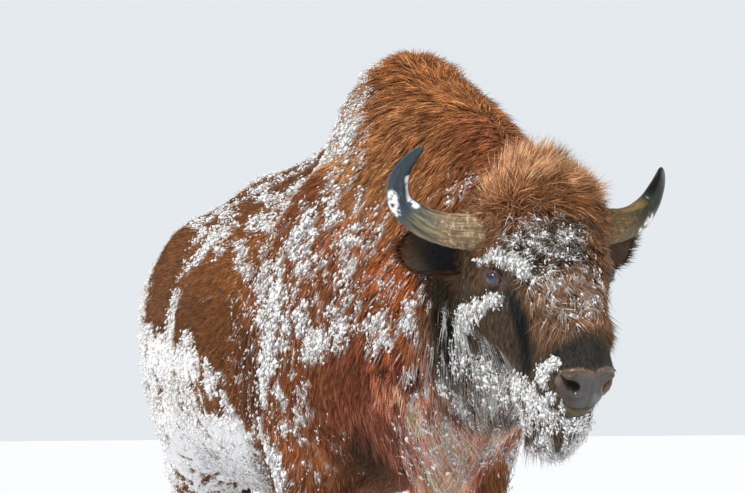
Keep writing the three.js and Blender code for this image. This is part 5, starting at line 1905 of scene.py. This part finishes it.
class BISON_OT_snow(bpy.types.Operator):
    """Make the grains of snow on the coat"""

    bl_idname = "bison.snow"
    bl_label = "Snow"

    def execute(self, context):
        make_snow(skin_object())
        make_crust(skin_object())
        return {"FINISHED"}


class BISON_OT_horns(bpy.types.Operator):
    """Make the two horns"""

    bl_idname = "bison.horns"
    bl_label = "Horns"

    def execute(self, context):
        for word, side in SIDES.items():
            material = horn_material("bison_horn_" + word, side)
            finish(make_horn("ridged_horn_" + word, side), material, "horn", "horn_" + word)
        return {"FINISHED"}


class BISON_OT_eyes(bpy.types.Operator):
    """Make the two eyes"""

    bl_idname = "bison.eyes"
    bl_label = "Eyes"

    def execute(self, context):
        material = eye_material()
        for word, side in SIDES.items():
            finish(make_eye("eyeball_" + word, side), material, "eye", "eye_" + word)
        return {"FINISHED"}


class BISON_OT_hooves(bpy.types.Operator):
    """Make the claws of the four feet"""

    bl_idname = "bison.hooves"
    bl_label = "Hooves"

    def execute(self, context):
        material = hoof_material()
        for node in HOOF_NODES:
            finish(make_hoof(node), material, "hoof", node)
        return {"FINISHED"}


class BISON_PT_panel(bpy.types.Panel):
    """Lists the bison's pieces and settings"""

    bl_label = "Bison"
    bl_idname = "BISON_PT_panel"
    bl_space_type = "VIEW_3D"
    bl_region_type = "UI"
    bl_category = "Bison"

    def draw(self, context):
        for operator in OPERATORS:
            self.layout.operator(operator.bl_idname)
        for group in (context.scene.bison_sizes, context.scene.bison_colours):
            for name in group.bl_rna.properties.keys():
                if name not in ("rna_type", "name"):
                    self.layout.prop(group, name)


OPERATORS = (
    BISON_OT_stage, BISON_OT_skin, BISON_OT_trunk_coat, BISON_OT_mane_coat, BISON_OT_head_coat,
    BISON_OT_leg_coat,
    BISON_OT_snow, BISON_OT_horns, BISON_OT_eyes, BISON_OT_hooves,
)
CLASSES = (BisonSizes, BisonColours, *OPERATORS, BISON_PT_panel)


def register():
    for cls in CLASSES:
        bpy.utils.register_class(cls)
    bpy.types.Scene.bison_sizes = bpy.props.PointerProperty(type=BisonSizes)
    bpy.types.Scene.bison_colours = bpy.props.PointerProperty(type=BisonColours)


def unregister():
    del bpy.types.Scene.bison_colours
    del bpy.types.Scene.bison_sizes
    for cls in reversed(CLASSES):
        bpy.utils.unregister_class(cls)


def main():
    register()
    bpy.ops.bison.stage()
    bpy.ops.bison.skin()
    bpy.ops.bison.trunk_coat()
    bpy.ops.bison.mane_coat()
    bpy.ops.bison.head_coat()
    bpy.ops.bison.leg_coat()
    bpy.ops.bison.snow()
    bpy.ops.bison.horns()
    bpy.ops.bison.eyes()
    bpy.ops.bison.hooves()


if __name__ == "__main__":
    main()
